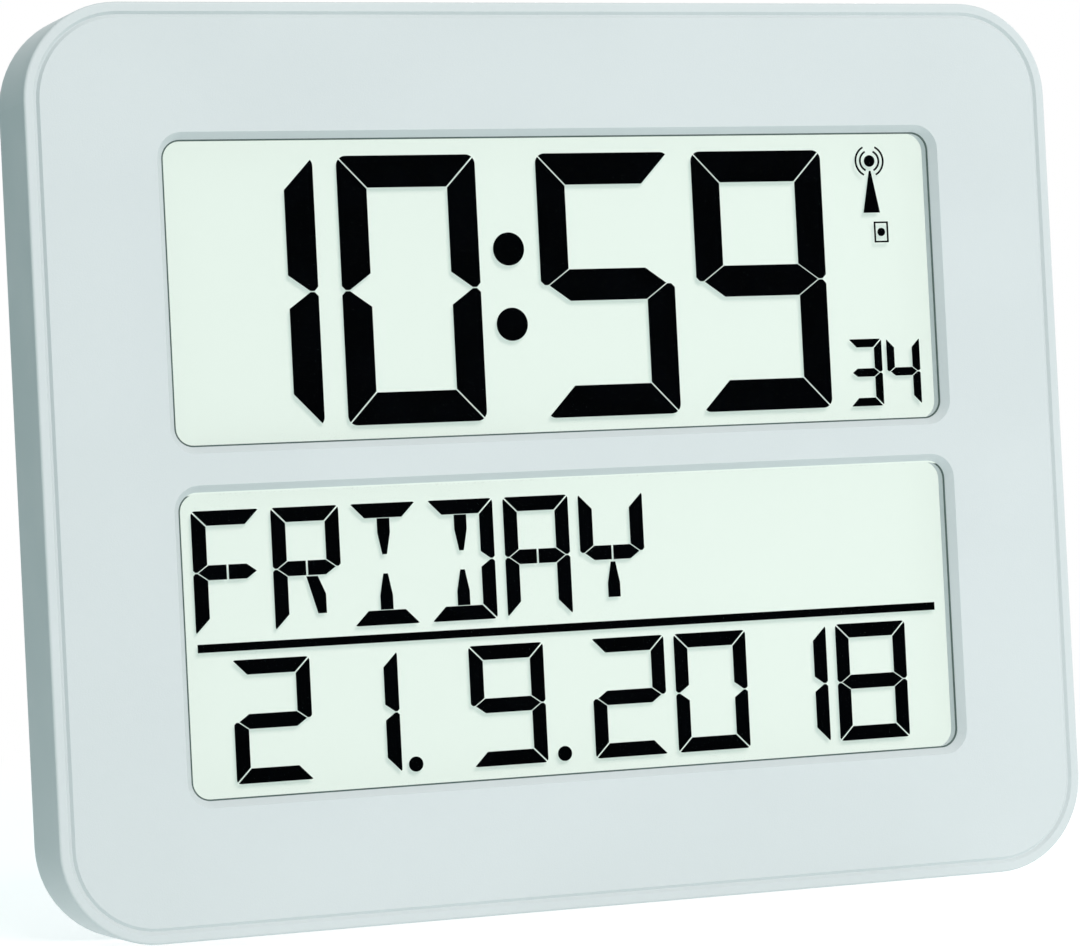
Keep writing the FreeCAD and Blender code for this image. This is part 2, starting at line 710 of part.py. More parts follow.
def date_segments():
    """Dividing line, and under it the date with its dots."""
    line_top = weekday_bottom() - ROW_GAP
    line_bottom = line_top - LINE_WIDTH
    bottom = line_bottom - ROW_GAP - DATE_HEIGHT
    outlines = segment_outlines(DATE_WIDTH, DATE_HEIGHT, LETTER_STROKE, LETTER_STROKE, LETTER_TIP)
    lit = [block(LINE_LEFT, LINE_RIGHT, SEGMENT_FRONT, REAR_GLASS_FRONT, line_bottom, line_top)]
    for digits, group_left in DATE_GROUPS:
        for place, digit in enumerate(digits):
            left = group_left + place * DATE_PITCH
            lit += figure(DIGIT_SEGMENTS[digit], outlines, DATE_WIDTH, DATE_HEIGHT, LETTER_TIP, left, bottom)
    for x in DATE_DOTS:
        lit.append(disc(x, bottom + DATE_DOT, DATE_DOT))
    return group(lit)


def strip_z(z, ledge_side):
    """Height of the contact strip on the ledge of the display centred on z."""
    return z + ledge_side * (GLASS_HEIGHT / 2 - CONTACT_LEDGE / 2)


def contact_strip(z, ledge_side, extra=0.0, y_front=SEGMENT_FRONT):
    """Elastomer strip that joins the display glass to the main board."""
    middle = strip_z(z, ledge_side)
    half = STRIP_WIDTH / 2 + extra
    reach = STRIP_LENGTH / 2 + extra
    return block(BOARD_X - reach, BOARD_X + reach, y_front, HOLDER_BACK, middle - half, middle + half)


def display_holder():
    """Frame behind both displays, with the glass pockets, screw lugs and antenna cradles."""
    rim_front = GLASS_FRONT + GLASS_CLEARANCE / 2
    body = slab(HOLDER_WIDTH, HOLDER_HEIGHT, HOLDER_RIM, rim_front, HOLDER_BACK)
    for x, z in lug_places():
        body = body.fuse(rod_y(x, z, LUG_RADIUS, HOLDER_FRONT, HOLDER_BACK))
    pocket = (GLASS_WIDTH + 2 * GLASS_CLEARANCE, GLASS_HEIGHT + 2 * GLASS_CLEARANCE, GLASS_CLEARANCE)
    for z in (TIME_Z, DATE_Z):
        body = body.cut(slab(*pocket, rim_front, HOLDER_FRONT, z=z))
    cradle_half = ROD_RADIUS + CRADLE_WALL
    for side in (-1, 1):
        x = ROD_X + side * CRADLE_OFFSET
        cradle = block(x - CRADLE_WIDTH / 2, x + CRADLE_WIDTH / 2, HOLDER_BACK - HOLDER_PLATE / 2,
                       ROD_Y + CRADLE_GRIP, ROD_Z - cradle_half, ROD_Z + cradle_half)
        body = body.fuse(cradle)
    body = body.cut(rod_x(ROD_Y, ROD_Z, ROD_RADIUS, ROD_X - ROD_LENGTH / 2, ROD_X + ROD_LENGTH / 2))
    for x, z in lug_places():
        body = body.cut(rod_y(x, z, SMALL_SCREW + SCREW_HOLE_CLEARANCE, rim_front, HOLDER_BACK))
        body = body.cut(rod_y(x, z, HOLDER_BOSS_RADIUS + GLASS_CLEARANCE, rim_front, HOLDER_FRONT))
    for x, z in board_screw_places() + receiver_screw_places():
        body = body.cut(rod_y(x, z, SMALL_SCREW, HOLDER_FRONT, HOLDER_BACK))
    for z, side in ((TIME_Z, -1), (DATE_Z, 1)):
        body = body.cut(contact_strip(z, side, STRIP_CLEARANCE, HOLDER_FRONT))
    return body.removeSplitter()


def board_screw_places():
    """The four corners of the main board."""
    return [(x, z)
            for x in (BOARD_LEFT + BOARD_SCREW_INSET, BOARD_RIGHT - BOARD_SCREW_INSET)
            for z in (BOARD_BOTTOM + BOARD_SCREW_INSET, BOARD_TOP - BOARD_SCREW_INSET)]


def receiver_screw_places():
    """Two opposite corners of the receiver board."""
    dx, dz = RECEIVER_WIDTH / 2 - RECEIVER_SCREW_INSET, RECEIVER_HEIGHT / 2 - RECEIVER_SCREW_INSET
    return [(RECEIVER_X - dx, RECEIVER_Z + dz), (RECEIVER_X + dx, RECEIVER_Z - dz)]


def main_board():
    """Circuit board with its screw holes."""
    board = slab(BOARD_WIDTH, BOARD_HEIGHT, BOARD_CORNER, HOLDER_BACK, BOARD_BACK, x=BOARD_X)
    for x, z in board_screw_places():
        board = board.cut(rod_y(x, z, SMALL_SCREW + SCREW_HOLE_CLEARANCE, HOLDER_BACK, BOARD_BACK))
    return board


def chip_dome(x, z, radius, height, seat):
    """Drop of black resin over a chip: the cap of a sphere."""
    ball_radius = (radius ** 2 + height ** 2) / (2 * height)
    ball = Part.makeSphere(ball_radius, Vector(x, seat + height - ball_radius, z))
    return ball.common(block(x - radius, x + radius, seat, seat + height, z - radius, z + radius))


def quartz_crystal():
    """Small round can lying on the board, with its two legs bent down."""
    x, z = (CHIP_X[0] + CHIP_X[1]) / 2, CHIP_Z - CHIP_RADIUS - 2 * CRYSTAL_RADIUS
    y = BOARD_BACK + CRYSTAL_RADIUS
    end = x + CRYSTAL_LENGTH / 2
    parts = [rod_x(y, z, CRYSTAL_RADIUS, x - CRYSTAL_LENGTH / 2, end)]
    half = CRYSTAL_LEG / 2
    tip = end + CRYSTAL_LEG_REACH
    for side in (-1, 1):
        leg_z = z + side * CRYSTAL_RADIUS / 2
        parts.append(block(end - half, tip, y - half, y + half, leg_z - half, leg_z + half))
        parts.append(block(tip - CRYSTAL_LEG, tip, BOARD_BACK, y + half, leg_z - half, leg_z + half))
    return joined(parts)


def capacitors():
    """Two upright electrolytic cans near the battery leads."""
    cans = []
    x = BOARD_RIGHT - CAPACITOR_INSET
    for place in range(CAPACITOR_COUNT):
        z = BOARD_BOTTOM + CAPACITOR_RISE + place * CAPACITOR_PITCH
        cans.append(rod_y(x, z, CAPACITOR_RADIUS, BOARD_BACK, BOARD_BACK + CAPACITOR_HEIGHT))
    return group(cans)


def small_parts():
    """Rows of resistors and small capacitors soldered flat on the board."""
    length, width, height = SMALL_PART
    chips = []
    for row in range(SMALL_PART_ROWS):
        for place in range(SMALL_PART_COUNT):
            x = CHIP_X[0] - CHIP_RADIUS + place * SMALL_PART_PITCH
            z = BOARD_BOTTOM + SMALL_PART_RISE + row * SMALL_PART_ROW_PITCH
            chips.append(block(x - length / 2, x + length / 2, BOARD_BACK, BOARD_BACK + height,
                               z - width / 2, z + width / 2))
    return group(chips)


def switch_places():
    """Every tact switch: the set buttons in a row, then the reset."""
    first = BOARD_LEFT + BUTTON_INSET
    return [first + place * BUTTON_PITCH for place in range(len(BUTTON_NAMES))] + [RESET_X]


def switch_bodies():
    """Square switch cases on the board, each with the bore its plunger runs in."""
    cases = []
    top = BOARD_BACK + SWITCH_HEIGHT
    for x in switch_places():
        case = slab(SWITCH_SIDE, SWITCH_SIDE, SWITCH_CORNER, BOARD_BACK, top, x=x, z=BUTTON_Z)
        bore = rod_y(x, BUTTON_Z, PLUNGER_RADIUS + PLUNGER_CLEARANCE, top - PLUNGER_SEAT, top)
        cases.append(case.cut(bore))
    return group(cases)


def switch_plunger(x):
    """Plunger of one switch, clear of the bottom of its bore by the button's travel and more."""
    top = BOARD_BACK + SWITCH_HEIGHT
    return rod_y(x, BUTTON_Z, PLUNGER_RADIUS, top - PLUNGER_SEAT + PLUNGER_ROOM, top + PLUNGER_RISE)


def push_button(x, radius, stem_radius, recess):
    """Button with a retaining flange inside the rear housing and a stem down to its switch."""
    seat = BOARD_BACK + SWITCH_HEIGHT + PLUNGER_RISE
    flange_top = PLATE_INSIDE - BUTTON_FREE
    flange_low = flange_top - BUTTON_FLANGE_THICKNESS
    cap = rod_y(x, BUTTON_Z, radius, flange_low, BACK - recess)
    cap = cap.makeFillet(BUTTON_ROUND, edges_at(cap, BACK - recess))
    flange = rod_y(x, BUTTON_Z, radius + BUTTON_FLANGE, flange_low, flange_top)
    stem = rod_y(x, BUTTON_Z, stem_radius, seat, flange_low + BUTTON_FLANGE_THICKNESS / 2)
    return joined([cap, flange, stem])


def rear_core():
    """Outer shape of the raised back, before it is hollowed."""
    step = FLANGE_RADIUS - STEP_INSET
    size = (FLANGE_WIDTH - 2 * STEP_INSET, FLANGE_HEIGHT - 2 * STEP_INSET)
    low = slab(*size, step, FLANGE_FRONT, WALL_END)
    high = taper(*size, step, BACK_DRAFT, WALL_END, BACK)
    high = high.makeFillet(BACK_ROUND, edges_at(high, BACK))
    return joined([low, high])


def stand_axis_y():
    """The stand turns about the middle of its own thickness, flush with the back at rest."""
    return BACK - STAND_THICKNESS / 2


def stand_recess():
    """Space the folded stand lies in, open at the back, with a dip for a finger at the top."""
    low = STAND_AXIS_Z - STAND_THICKNESS / 2 - STAND_CLEARANCE
    high = STAND_AXIS_Z + STAND_LENGTH + STAND_CLEARANCE
    floor = BACK - STAND_THICKNESS - STAND_CLEARANCE
    half = STAND_WIDTH / 2 + STAND_CLEARANCE
    space = block(-half, half, floor, BACK, low, high)
    dip = rod_y(0, high, FINGER_RADIUS, floor, BACK)
    return joined([space, dip]), floor


def rear_housing():
    """Back cover: flange inside the front's walls, raised back, well, recess, hanger, towers."""
    core = rear_core()
    flange = slab(FLANGE_WIDTH, FLANGE_HEIGHT, FLANGE_RADIUS, FLANGE_FRONT, WALL_END)
    shell = core.fuse(flange)
    less = 2 * (STEP_INSET + REAR_PLATE)
    hollow_radius = FLANGE_RADIUS - STEP_INSET - REAR_PLATE
    hollow = slab(FLANGE_WIDTH - less, FLANGE_HEIGHT - less, hollow_radius, FLANGE_FRONT, WALL_END)
    hollow_top = taper(FLANGE_WIDTH - less, FLANGE_HEIGHT - less, hollow_radius, BACK_DRAFT,
                       WALL_END, PLATE_INSIDE)
    shell = shell.cut(hollow).cut(hollow_top)

    recess, floor = stand_recess()
    box = recess.BoundBox
    wall = RECESS_WALL
    recess_top = STAND_AXIS_Z + STAND_LENGTH + STAND_CLEARANCE
    wall_top = PLATE_INSIDE + OVERLAP
    housing = block(box.XMin - wall, box.XMax + wall, floor - RECESS_FLOOR, wall_top, 0, recess_top + wall)
    finger_wall = rod_y(0, recess_top, FINGER_RADIUS + wall, floor - RECESS_FLOOR, wall_top)
    well = block(WELL_LEFT - WELL_WALL, WELL_RIGHT + WELL_WALL, WELL_FLOOR_FRONT, wall_top,
                 MIDDLE - WELL_HALF - WELL_WALL, MIDDLE + WELL_HALF + WELL_WALL)
    pocket_wall = KEYHOLE_POCKET_WALL
    pocket_low = KEYHOLE_Z - KEYHOLE_POCKET_SIDE
    pocket_high = KEYHOLE_Z + KEYHOLE_TRAVEL + KEYHOLE_RADIUS + KEYHOLE_HEADROOM
    pocket_floor = PLATE_INSIDE - KEYHOLE_POCKET_DEPTH
    case_half = KEYHOLE_POCKET_SIDE + pocket_wall
    pocket_case = block(-case_half, case_half, pocket_floor - pocket_wall, wall_top,
                        pocket_low - pocket_wall, pocket_high + pocket_wall)
    towers = [rod_y(x, z, TOWER_RADIUS, FLANGE_FRONT, wall_top) for x, z in corner_places()]
    inner_bodies = [housing.common(core), finger_wall, pocket_case] + towers
    shell = shell.fuse(inner_bodies + [well])

    shell = shell.cut(recess)
    shell = shell.cut(block(WELL_LEFT, WELL_RIGHT, WELL_FLOOR_BACK, BACK,
                            MIDDLE - WELL_HALF, MIDDLE + WELL_HALF))
    shell = shell.cut(cover_outline(COVER_CLEARANCE, PLATE_INSIDE, BACK))
    shell = shell.cut(group(tab_notches()))
    shell = shell.cut(block(-KEYHOLE_POCKET_SIDE, KEYHOLE_POCKET_SIDE, pocket_floor, PLATE_INSIDE,
                            pocket_low, pocket_high))
    slot_top = KEYHOLE_Z + KEYHOLE_TRAVEL
    shell = shell.cut(rod_y(0, KEYHOLE_Z, KEYHOLE_RADIUS, PLATE_INSIDE, BACK))
    shell = shell.cut(block(-KEYHOLE_SLOT, KEYHOLE_SLOT, PLATE_INSIDE, BACK, KEYHOLE_Z, slot_top))
    shell = shell.cut(rod_y(0, slot_top, KEYHOLE_SLOT, PLATE_INSIDE, BACK))
    for x, z in corner_places():
        shell = shell.cut(rod_y(x, z, SCREW_TUNNEL_RADIUS, WALL_END, BACK))
        shell = shell.cut(rod_y(x, z, HOUSING_SCREW + SCREW_HOLE_CLEARANCE, FLANGE_FRONT, WALL_END))
    for x in switch_places()[:-1]:
        shell = shell.cut(rod_y(x, BUTTON_Z, BUTTON_RADIUS + BUTTON_CLEARANCE, PLATE_INSIDE, BACK))
    shell = shell.cut(rod_y(RESET_X, BUTTON_Z, RESET_RADIUS + BUTTON_CLEARANCE, PLATE_INSIDE, BACK))
    reach = STAND_WIDTH / 2 + PIN_LENGTH + STAND_CLEARANCE
    shell = shell.cut(rod_x(stand_axis_y(), STAND_AXIS_Z, PIN_RADIUS + PIN_CLEARANCE, -reach, reach))
    return shell.removeSplitter()


def cover_outline(extra, y_front, y_back):
    """Outline of the battery cover, grown by extra."""
    width = WELL_LENGTH + 2 * (COVER_LEDGE + extra)
    height = 2 * (WELL_HALF + COVER_LEDGE + extra)
    return slab(width, height, COVER_RADIUS + extra, y_front, y_back,
                x=(WELL_LEFT + WELL_RIGHT) / 2)


def cover_low():
    """Height of the cover's lower edge, about which it tilts."""
    return MIDDLE - WELL_HALF - COVER_LEDGE


def tab_centres():
    """The two tabs, either side of the cover's middle."""
    middle = (WELL_LEFT + WELL_RIGHT) / 2
    return [middle - TAB_OFFSET, middle + TAB_OFFSET]


def tab_notches():
    """Slots in the lower wall of the well for the cover's tabs to turn in."""
    top = PLATE_INSIDE
    low = top - TAB_THICKNESS - 2 * TAB_CLEARANCE - TAB_SWING_ROOM
    notches = []
    for x in tab_centres():
        half = TAB_WIDTH / 2 + TAB_CLEARANCE
        notches.append(block(x - half, x + half, low, top, cover_low() - TAB_REACH - TAB_CLEARANCE,
                             cover_low() + COVER_LEDGE + OVERLAP))
    return notches


def battery_cover():
    """Flat cover with two tabs along its lower edge and a thumb dip near the top."""
    inside = BACK - COVER_THICKNESS
    plate = cover_outline(0.0, inside, BACK)
    plate = plate.makeFillet(COVER_ROUND, edges_at(plate, BACK))
    top = PLATE_INSIDE - TAB_GAP
    low, root = cover_low(), cover_low() + TAB_ROOT
    for x in tab_centres():
        half = TAB_WIDTH / 2
        foot = block(x - half, x + half, top - TAB_THICKNESS, top, low - TAB_REACH, root)
        leg = block(x - half, x + half, top - TAB_THICKNESS, inside + OVERLAP, low + OVERLAP, root)
        plate = plate.fuse([foot, leg])
    dip_z = MIDDLE + WELL_HALF - THUMB_INSET
    ball_radius = (THUMB_RADIUS ** 2 + THUMB_DEPTH ** 2) / (2 * THUMB_DEPTH)
    centre_x = (WELL_LEFT + WELL_RIGHT) / 2
    ball = Part.makeSphere(ball_radius, Vector(centre_x, BACK - THUMB_DEPTH + ball_radius, dip_z))
    return plate.cut(ball).removeSplitter()


def battery(rise, turned):
    """Round cell with its positive nub, lying along X."""
    z = MIDDLE + rise
    start = WELL_LEFT + CONTACT_THICKNESS + (SPRING_LENGTH if turned else 0.0)
    end = start + BATTERY_LENGTH
    if turned:
        can = rod_x(BATTERY_Y, z, BATTERY_RADIUS, start, end - BATTERY_NUB)
        nub = rod_x(BATTERY_Y, z, BATTERY_NUB_RADIUS, end - BATTERY_NUB, end)
    else:
        can = rod_x(BATTERY_Y, z, BATTERY_RADIUS, start + BATTERY_NUB, end)
        nub = rod_x(BATTERY_Y, z, BATTERY_NUB_RADIUS, start, start + BATTERY_NUB)
    return joined([can, nub])


def contact_plate(x, z1, z2):
    """Flat sprung-steel plate standing against an end of the well."""
    return block(x, x + CONTACT_THICKNESS, WELL_FLOOR_BACK, BATTERY_Y + CONTACT_WIDTH / 2, z1, z2)


def contact_spring(x, z, direction):
    """Space of a tapered spring between its plate and the flat end of a cell."""
    foot = Vector(x, BATTERY_Y, z)
    return Part.makeCone(SPRING_BASE_RADIUS, SPRING_TOP_RADIUS, SPRING_LENGTH, foot, Vector(direction, 0, 0))


def battery_contacts():
    """Flat contact, spring contact, and the bridge that joins the two cells."""
    half = CONTACT_WIDTH / 2
    up, down = MIDDLE + BATTERY_RISE, MIDDLE - BATTERY_RISE
    right = WELL_RIGHT - CONTACT_THICKNESS
    flat = contact_plate(WELL_LEFT, up - half, up + half)
    spring = joined([contact_plate(WELL_LEFT, down - half, down + half),
                     contact_spring(WELL_LEFT + CONTACT_THICKNESS, down, 1)])
    bridge = joined([contact_plate(right, down - half, up + half), contact_spring(right, up, -1)])
    return flat, spring, bridge


def table_stand():
    """Fold-out leg: a flat plate with a round heel, two pins, and a ribbed inner side."""
    y = stand_axis_y()
    half = STAND_WIDTH / 2
    y1, y2 = y - STAND_THICKNESS / 2, y + STAND_THICKNESS / 2
    high = STAND_AXIS_Z + STAND_LENGTH
    plate = slab(STAND_WIDTH, STAND_LENGTH + STAND_RADIUS, STAND_RADIUS, y1, y2,
                 z=(high + STAND_AXIS_Z - STAND_RADIUS) / 2)
    plate = plate.makeFillet(STAND_ROUND, edges_at(plate, y2))
    plate = plate.cut(block(-half, half, y1, y2, STAND_AXIS_Z - STAND_RADIUS, STAND_AXIS_Z))
    heel = rod_x(y, STAND_AXIS_Z, STAND_THICKNESS / 2, -half, half)
    pins = rod_x(y, STAND_AXIS_Z, PIN_RADIUS, -half - PIN_LENGTH, half + PIN_LENGTH)
    body = joined([plate, heel, pins])
    ribs = (RIB_POCKET_COUNT - 1) * RIB_WIDTH
    pocket = (STAND_WIDTH - 2 * STAND_RADIUS - ribs) / RIB_POCKET_COUNT
    for place in range(RIB_POCKET_COUNT):
        x = -half + STAND_RADIUS + place * (pocket + RIB_WIDTH)
        body = body.cut(block(x, x + pocket, y1, y1 + RIB_POCKET_DEPTH,
                              STAND_AXIS_Z + STAND_THICKNESS, high - STAND_RADIUS))
    return body


def antenna_coil():
    """Winding round the middle of the ferrite rod."""
    outer = rod_x(ROD_Y, ROD_Z, ROD_RADIUS + COIL_WINDING, ROD_X - COIL_LENGTH / 2, ROD_X + COIL_LENGTH / 2)
    return outer.cut(ferrite_rod())


def ferrite_rod():
    """Round ferrite rod of the antenna."""
    return rod_x(ROD_Y, ROD_Z, ROD_RADIUS, ROD_X - ROD_LENGTH / 2, ROD_X + ROD_LENGTH / 2)


def receiver_board():
    """Small board of the radio receiver."""
    back = HOLDER_BACK + RECEIVER_THICKNESS
    board = slab(RECEIVER_WIDTH, RECEIVER_HEIGHT, BOARD_CORNER, HOLDER_BACK, back, x=RECEIVER_X, z=RECEIVER_Z)
    for x, z in receiver_screw_places():
        board = board.cut(rod_y(x, z, SMALL_SCREW + SCREW_HOLE_CLEARANCE, HOLDER_BACK, back))
    return board


def receiver_leads():
    """Three leads from the receiver board down to the main board."""
    strands = []
    start_y, end_y = HOLDER_BACK + RECEIVER_THICKNESS, BOARD_BACK
    z1, z2 = RECEIVER_Z - RECEIVER_HEIGHT / 2 + LEAD_INSET, BOARD_TOP - LEAD_INSET
    for place in range(RECEIVER_LEAD_COUNT):
        x = RECEIVER_X - RECEIVER_LEAD_OFFSET - place * LEAD_PITCH
        strands.append(lead([(x, start_y, z1), (x, start_y + LEAD_LOOP, z1),
                             (x, end_y + LEAD_LOOP, z2), (x, end_y, z2)], LEAD_RADIUS))
    return group(strands)


def antenna_leads():
    """Two thin leads from the underside of the coil, below the cradle, to the receiver board."""
    strands = []
    board = HOLDER_BACK + RECEIVER_THICKNESS
    low = board + LEAD_LOOP
    coil = ROD_RADIUS + COIL_WINDING
    for place in range(ANTENNA_LEAD_COUNT):
        step = place * LEAD_PITCH
        z = ROD_Z - ROD_RADIUS - CRADLE_WALL - ANTENNA_LEAD_SPACE - step
        x1 = RECEIVER_X + RECEIVER_WIDTH / 2 - ANTENNA_LEAD_INSET + step
        x2 = ROD_X - COIL_LENGTH / 2 + ANTENNA_LEAD_SPACE + step
        away = math.hypot(low - ROD_Y, z - ROD_Z)
        end = (x2, ROD_Y + coil * (low - ROD_Y) / away, ROD_Z + coil * (z - ROD_Z) / away)
        strands.append(lead([(x1, board, z), (x1, low, z), (x2, low, z), end], LEAD_RADIUS / 2))
    return group(strands)


def battery_lead(side):
    """Lead from a battery contact, through the end wall of the well, to the main board."""
    y = WELL_FLOOR_BACK + BATTERY_LEAD_RISE
    z1 = MIDDLE + side * BATTERY_RISE
    z2 = MIDDLE + side * BATTERY_LEAD_SPREAD
    x1, x2 = WELL_LEFT, BOARD_RIGHT - LEAD_INSET
    return lead([(x1, y, z1), ((x1 + x2) / 2, y, z1), (x2, y, z2), (x2, BOARD_BACK, z2)], LEAD_RADIUS)


def main():
    """Build and write every node."""
    os.makedirs("parts", exist_ok=True)
    save("front_housing", front_housing())
    leads = {"battery_lead_red": battery_lead(1), "battery_lead_black": battery_lead(-1)}
    save("rear_housing", rear_housing().cut(group(list(leads.values()))))
    for name, z, side in (("time", TIME_Z, -1), ("date", DATE_Z, 1)):
        save(name + "_window_seal", window_seal(z))
        save(name + "_window_lens", window_lens(z))
        save(name + "_display_front_glass", glass_box(z, GLASS_FRONT, SEGMENT_FRONT))
        save(name + "_display_rear_glass", glass_box(z, REAR_GLASS_FRONT, REFLECTOR_FRONT, side))
        save(name + "_display_reflector", glass_box(z, REFLECTOR_FRONT, HOLDER_FRONT, side))
        save(name + "_contact_strip", contact_strip(z, side))
    save("display_edge_seals", group([edge_seal(TIME_Z, -1), edge_seal(DATE_Z, 1)]))
    save("time_segments", time_segments())
    save("status_icons", status_icons())
    save("weekday_segments", weekday_segments())
    save("date_segments", date_segments())
    save("display_holder", display_holder())
    save("main_board", main_board())
    save("chip_domes", group([chip_dome(x, CHIP_Z, CHIP_RADIUS, CHIP_HEIGHT, BOARD_BACK) for x in CHIP_X]))
    save("quartz_crystal", quartz_crystal())
    save("capacitors", capacitors())
    save("small_parts", small_parts())
    save("switch_bodies", switch_bodies())
    for name, x in zip(BUTTON_NAMES, switch_places()):
        save(name + "_button", push_button(x, BUTTON_RADIUS, STEM_RADIUS, BUTTON_RECESS))
        save(name + "_switch_plunger", switch_plunger(x))
    save("reset_button", push_button(RESET_X, RESET_RADIUS, RESET_RADIUS, RESET_RECESS))
    save("reset_switch_plunger", switch_plunger(RESET_X))
    housing_screws = [screw(x, z, WALL_END, HOUSING_SCREW, HOUSING_SCREW_HEAD, HOUSING_SCREW_LENGTH)
                      for x, z in corner_places()]
    save("housing_screws", group(housing_screws))
    holder_screws = [screw(x, z, HOLDER_BACK, SMALL_SCREW, SMALL_SCREW_HEAD, HOLDER_SCREW_LENGTH)
                     for x, z in lug_places()]
    save("holder_screws", group(holder_screws))
    board_screws = [screw(x, z, BOARD_BACK, SMALL_SCREW, SMALL_SCREW_HEAD, BOARD_SCREW_LENGTH)
                    for x, z in board_screw_places()]
    receiver_back = HOLDER_BACK + RECEIVER_THICKNESS
    board_screws += [screw(x, z, receiver_back, SMALL_SCREW, SMALL_SCREW_HEAD, receiver_back - HOLDER_FRONT)
                     for x, z in receiver_screw_places()]
    save("board_screws", group(board_screws))
    save("ferrite_rod", ferrite_rod())
    save("antenna_coil", antenna_coil())
    save("receiver_board", receiver_board())
    save("receiver_chip_dome", chip_dome(RECEIVER_X, RECEIVER_Z, RECEIVER_CHIP_RADIUS, RECEIVER_CHIP_HEIGHT,
                                         receiver_back))
    save("receiver_leads", receiver_leads())
    save("antenna_leads", antenna_leads())
    for name, shape in leads.items():
        save(name, shape)
    flat, spring, bridge = battery_contacts()
    save("battery_flat_contact", flat)
    save("battery_spring_contact", spring)
    save("battery_bridge_contact", bridge)
    save("upper_battery", battery(BATTERY_RISE, False))
    save("lower_battery", battery(-BATTERY_RISE, True))
    save("battery_cover", battery_cover())
    save("table_stand", table_stand())


main()
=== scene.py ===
import json
import math

import bpy
import numpy as np
from bpy.props import FloatProperty, FloatVectorProperty, IntProperty, PointerProperty
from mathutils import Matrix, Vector


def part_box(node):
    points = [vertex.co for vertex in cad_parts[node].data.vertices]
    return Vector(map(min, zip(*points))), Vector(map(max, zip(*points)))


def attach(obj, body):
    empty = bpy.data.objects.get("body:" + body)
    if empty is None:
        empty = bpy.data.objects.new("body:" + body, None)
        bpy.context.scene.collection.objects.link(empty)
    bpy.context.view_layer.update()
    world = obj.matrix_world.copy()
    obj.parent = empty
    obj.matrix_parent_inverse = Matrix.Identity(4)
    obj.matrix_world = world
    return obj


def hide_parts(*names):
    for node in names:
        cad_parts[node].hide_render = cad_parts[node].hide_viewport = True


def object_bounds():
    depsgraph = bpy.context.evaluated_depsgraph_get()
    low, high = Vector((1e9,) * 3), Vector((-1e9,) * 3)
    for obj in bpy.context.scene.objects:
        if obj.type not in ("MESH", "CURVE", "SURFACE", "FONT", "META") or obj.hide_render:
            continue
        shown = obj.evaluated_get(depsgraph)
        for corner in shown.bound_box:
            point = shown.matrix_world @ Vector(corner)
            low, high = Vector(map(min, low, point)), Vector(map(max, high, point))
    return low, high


bl_info = {
    "name": "Day Clock Dressing",
    "version": (1, 0, 0),
    "blender": (4, 5, 0),
    "location": "View3D > Sidebar > Day Clock",
    "description": "Finishes, raised marks, cells and springs of a large day clock, and the studio round it",
    "category": "Object",
}

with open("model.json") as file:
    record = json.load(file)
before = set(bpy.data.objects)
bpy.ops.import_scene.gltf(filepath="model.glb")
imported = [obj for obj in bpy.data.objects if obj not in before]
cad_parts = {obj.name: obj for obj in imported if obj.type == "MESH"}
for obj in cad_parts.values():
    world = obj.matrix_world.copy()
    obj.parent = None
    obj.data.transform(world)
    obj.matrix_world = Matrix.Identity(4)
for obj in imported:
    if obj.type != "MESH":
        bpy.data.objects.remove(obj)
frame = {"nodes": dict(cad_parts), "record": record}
CAD_LOW, CAD_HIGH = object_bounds()

SLOT_OF_NODE = {row["node"]: row["material_slot"] for row in frame["record"]["subparts"]}
CLOCK = "clock"
MM = 0.001
FINISH_SUFFIX = "_finish"


def tone(red, green, blue):
    """Colour given in steps of 255, as a screen shows it, turned into linear light."""
    steps = np.array([red, green, blue]) / 255.0
    low = steps / 12.92
    high = ((steps + 0.055) / 1.055) ** 2.4
    return tuple(float(value) for value in np.where(steps <= 0.04045, low, high))


def darker(given, factor):
    """The same colour with less light."""
    return tuple(channel * factor for channel in given)


def colour(name, default, description):
    """Colour property shown as a swatch."""
    return FloatVectorProperty(name=name, description=description, subtype="COLOR", size=3,
                               min=0.0, max=1.0, default=default)


def length(name, default, description):
    """Length property in metres."""
    return FloatProperty(name=name, description=description, default=default, min=0.0,
                         unit="LENGTH", precision=5)


def share(name, default, description):
    """Property that runs from 0 to 1."""
    return FloatProperty(name=name, description=description, default=default, min=0.0, max=1.0,
                         subtype="FACTOR")


def amount(name, default, description):
    """Plain number that isn't negative."""
    return FloatProperty(name=name, description=description, default=default, min=0.0)


class CaseLook(bpy.types.PropertyGroup):
    """Finish of the moulded case and its keys."""

    shell: colour("Shell", tone(214, 226, 227), "Pale cool grey of the front and rear housing")
    shell_shade: colour("Shell shade", tone(212, 224, 225), "Slightly deeper grey in the faint flow marks")
    key: colour("Keys", tone(176, 188, 190), "Grey of the set buttons")
    holder: colour("Holder", tone(236, 239, 237), "White of the inner frame")
    grain_size: length("Grain size", 0.00036, "Spacing of the fine texture left by the mould")
    grain_depth: length("Grain depth", 0.000008, "Depth of that texture")
    flow_size: length("Flow mark size", 0.045, "Size of the soft flow marks in the plastic")
    roughness: share("Roughness", 0.55, "How matt the case is")


class DisplayLook(bpy.types.PropertyGroup):
    """Finish of the two displays and their windows."""

    film: colour("Film", tone(232, 247, 238), "Pale green white behind the segments")
    segment: colour("Segment", tone(2, 3, 5), "Near black of a driven segment")
    # The seal's dark grey-green is partly the rubber's own colour and partly painted shade: it stands in for
    # the shadow line at each window's edge.
    seal: colour("Window seal", tone(84, 104, 100), "Dark line round each window")
    film_grain: length("Film grain", 0.00018, "Size of the fine sparkle in the reflector film")
    clear_haze: share("Clear haze", 0.001, "How much the clear sheets hide, seen square on")
    glancing_haze: share("Glancing haze", 0.45, "How much they hide at a glancing view")


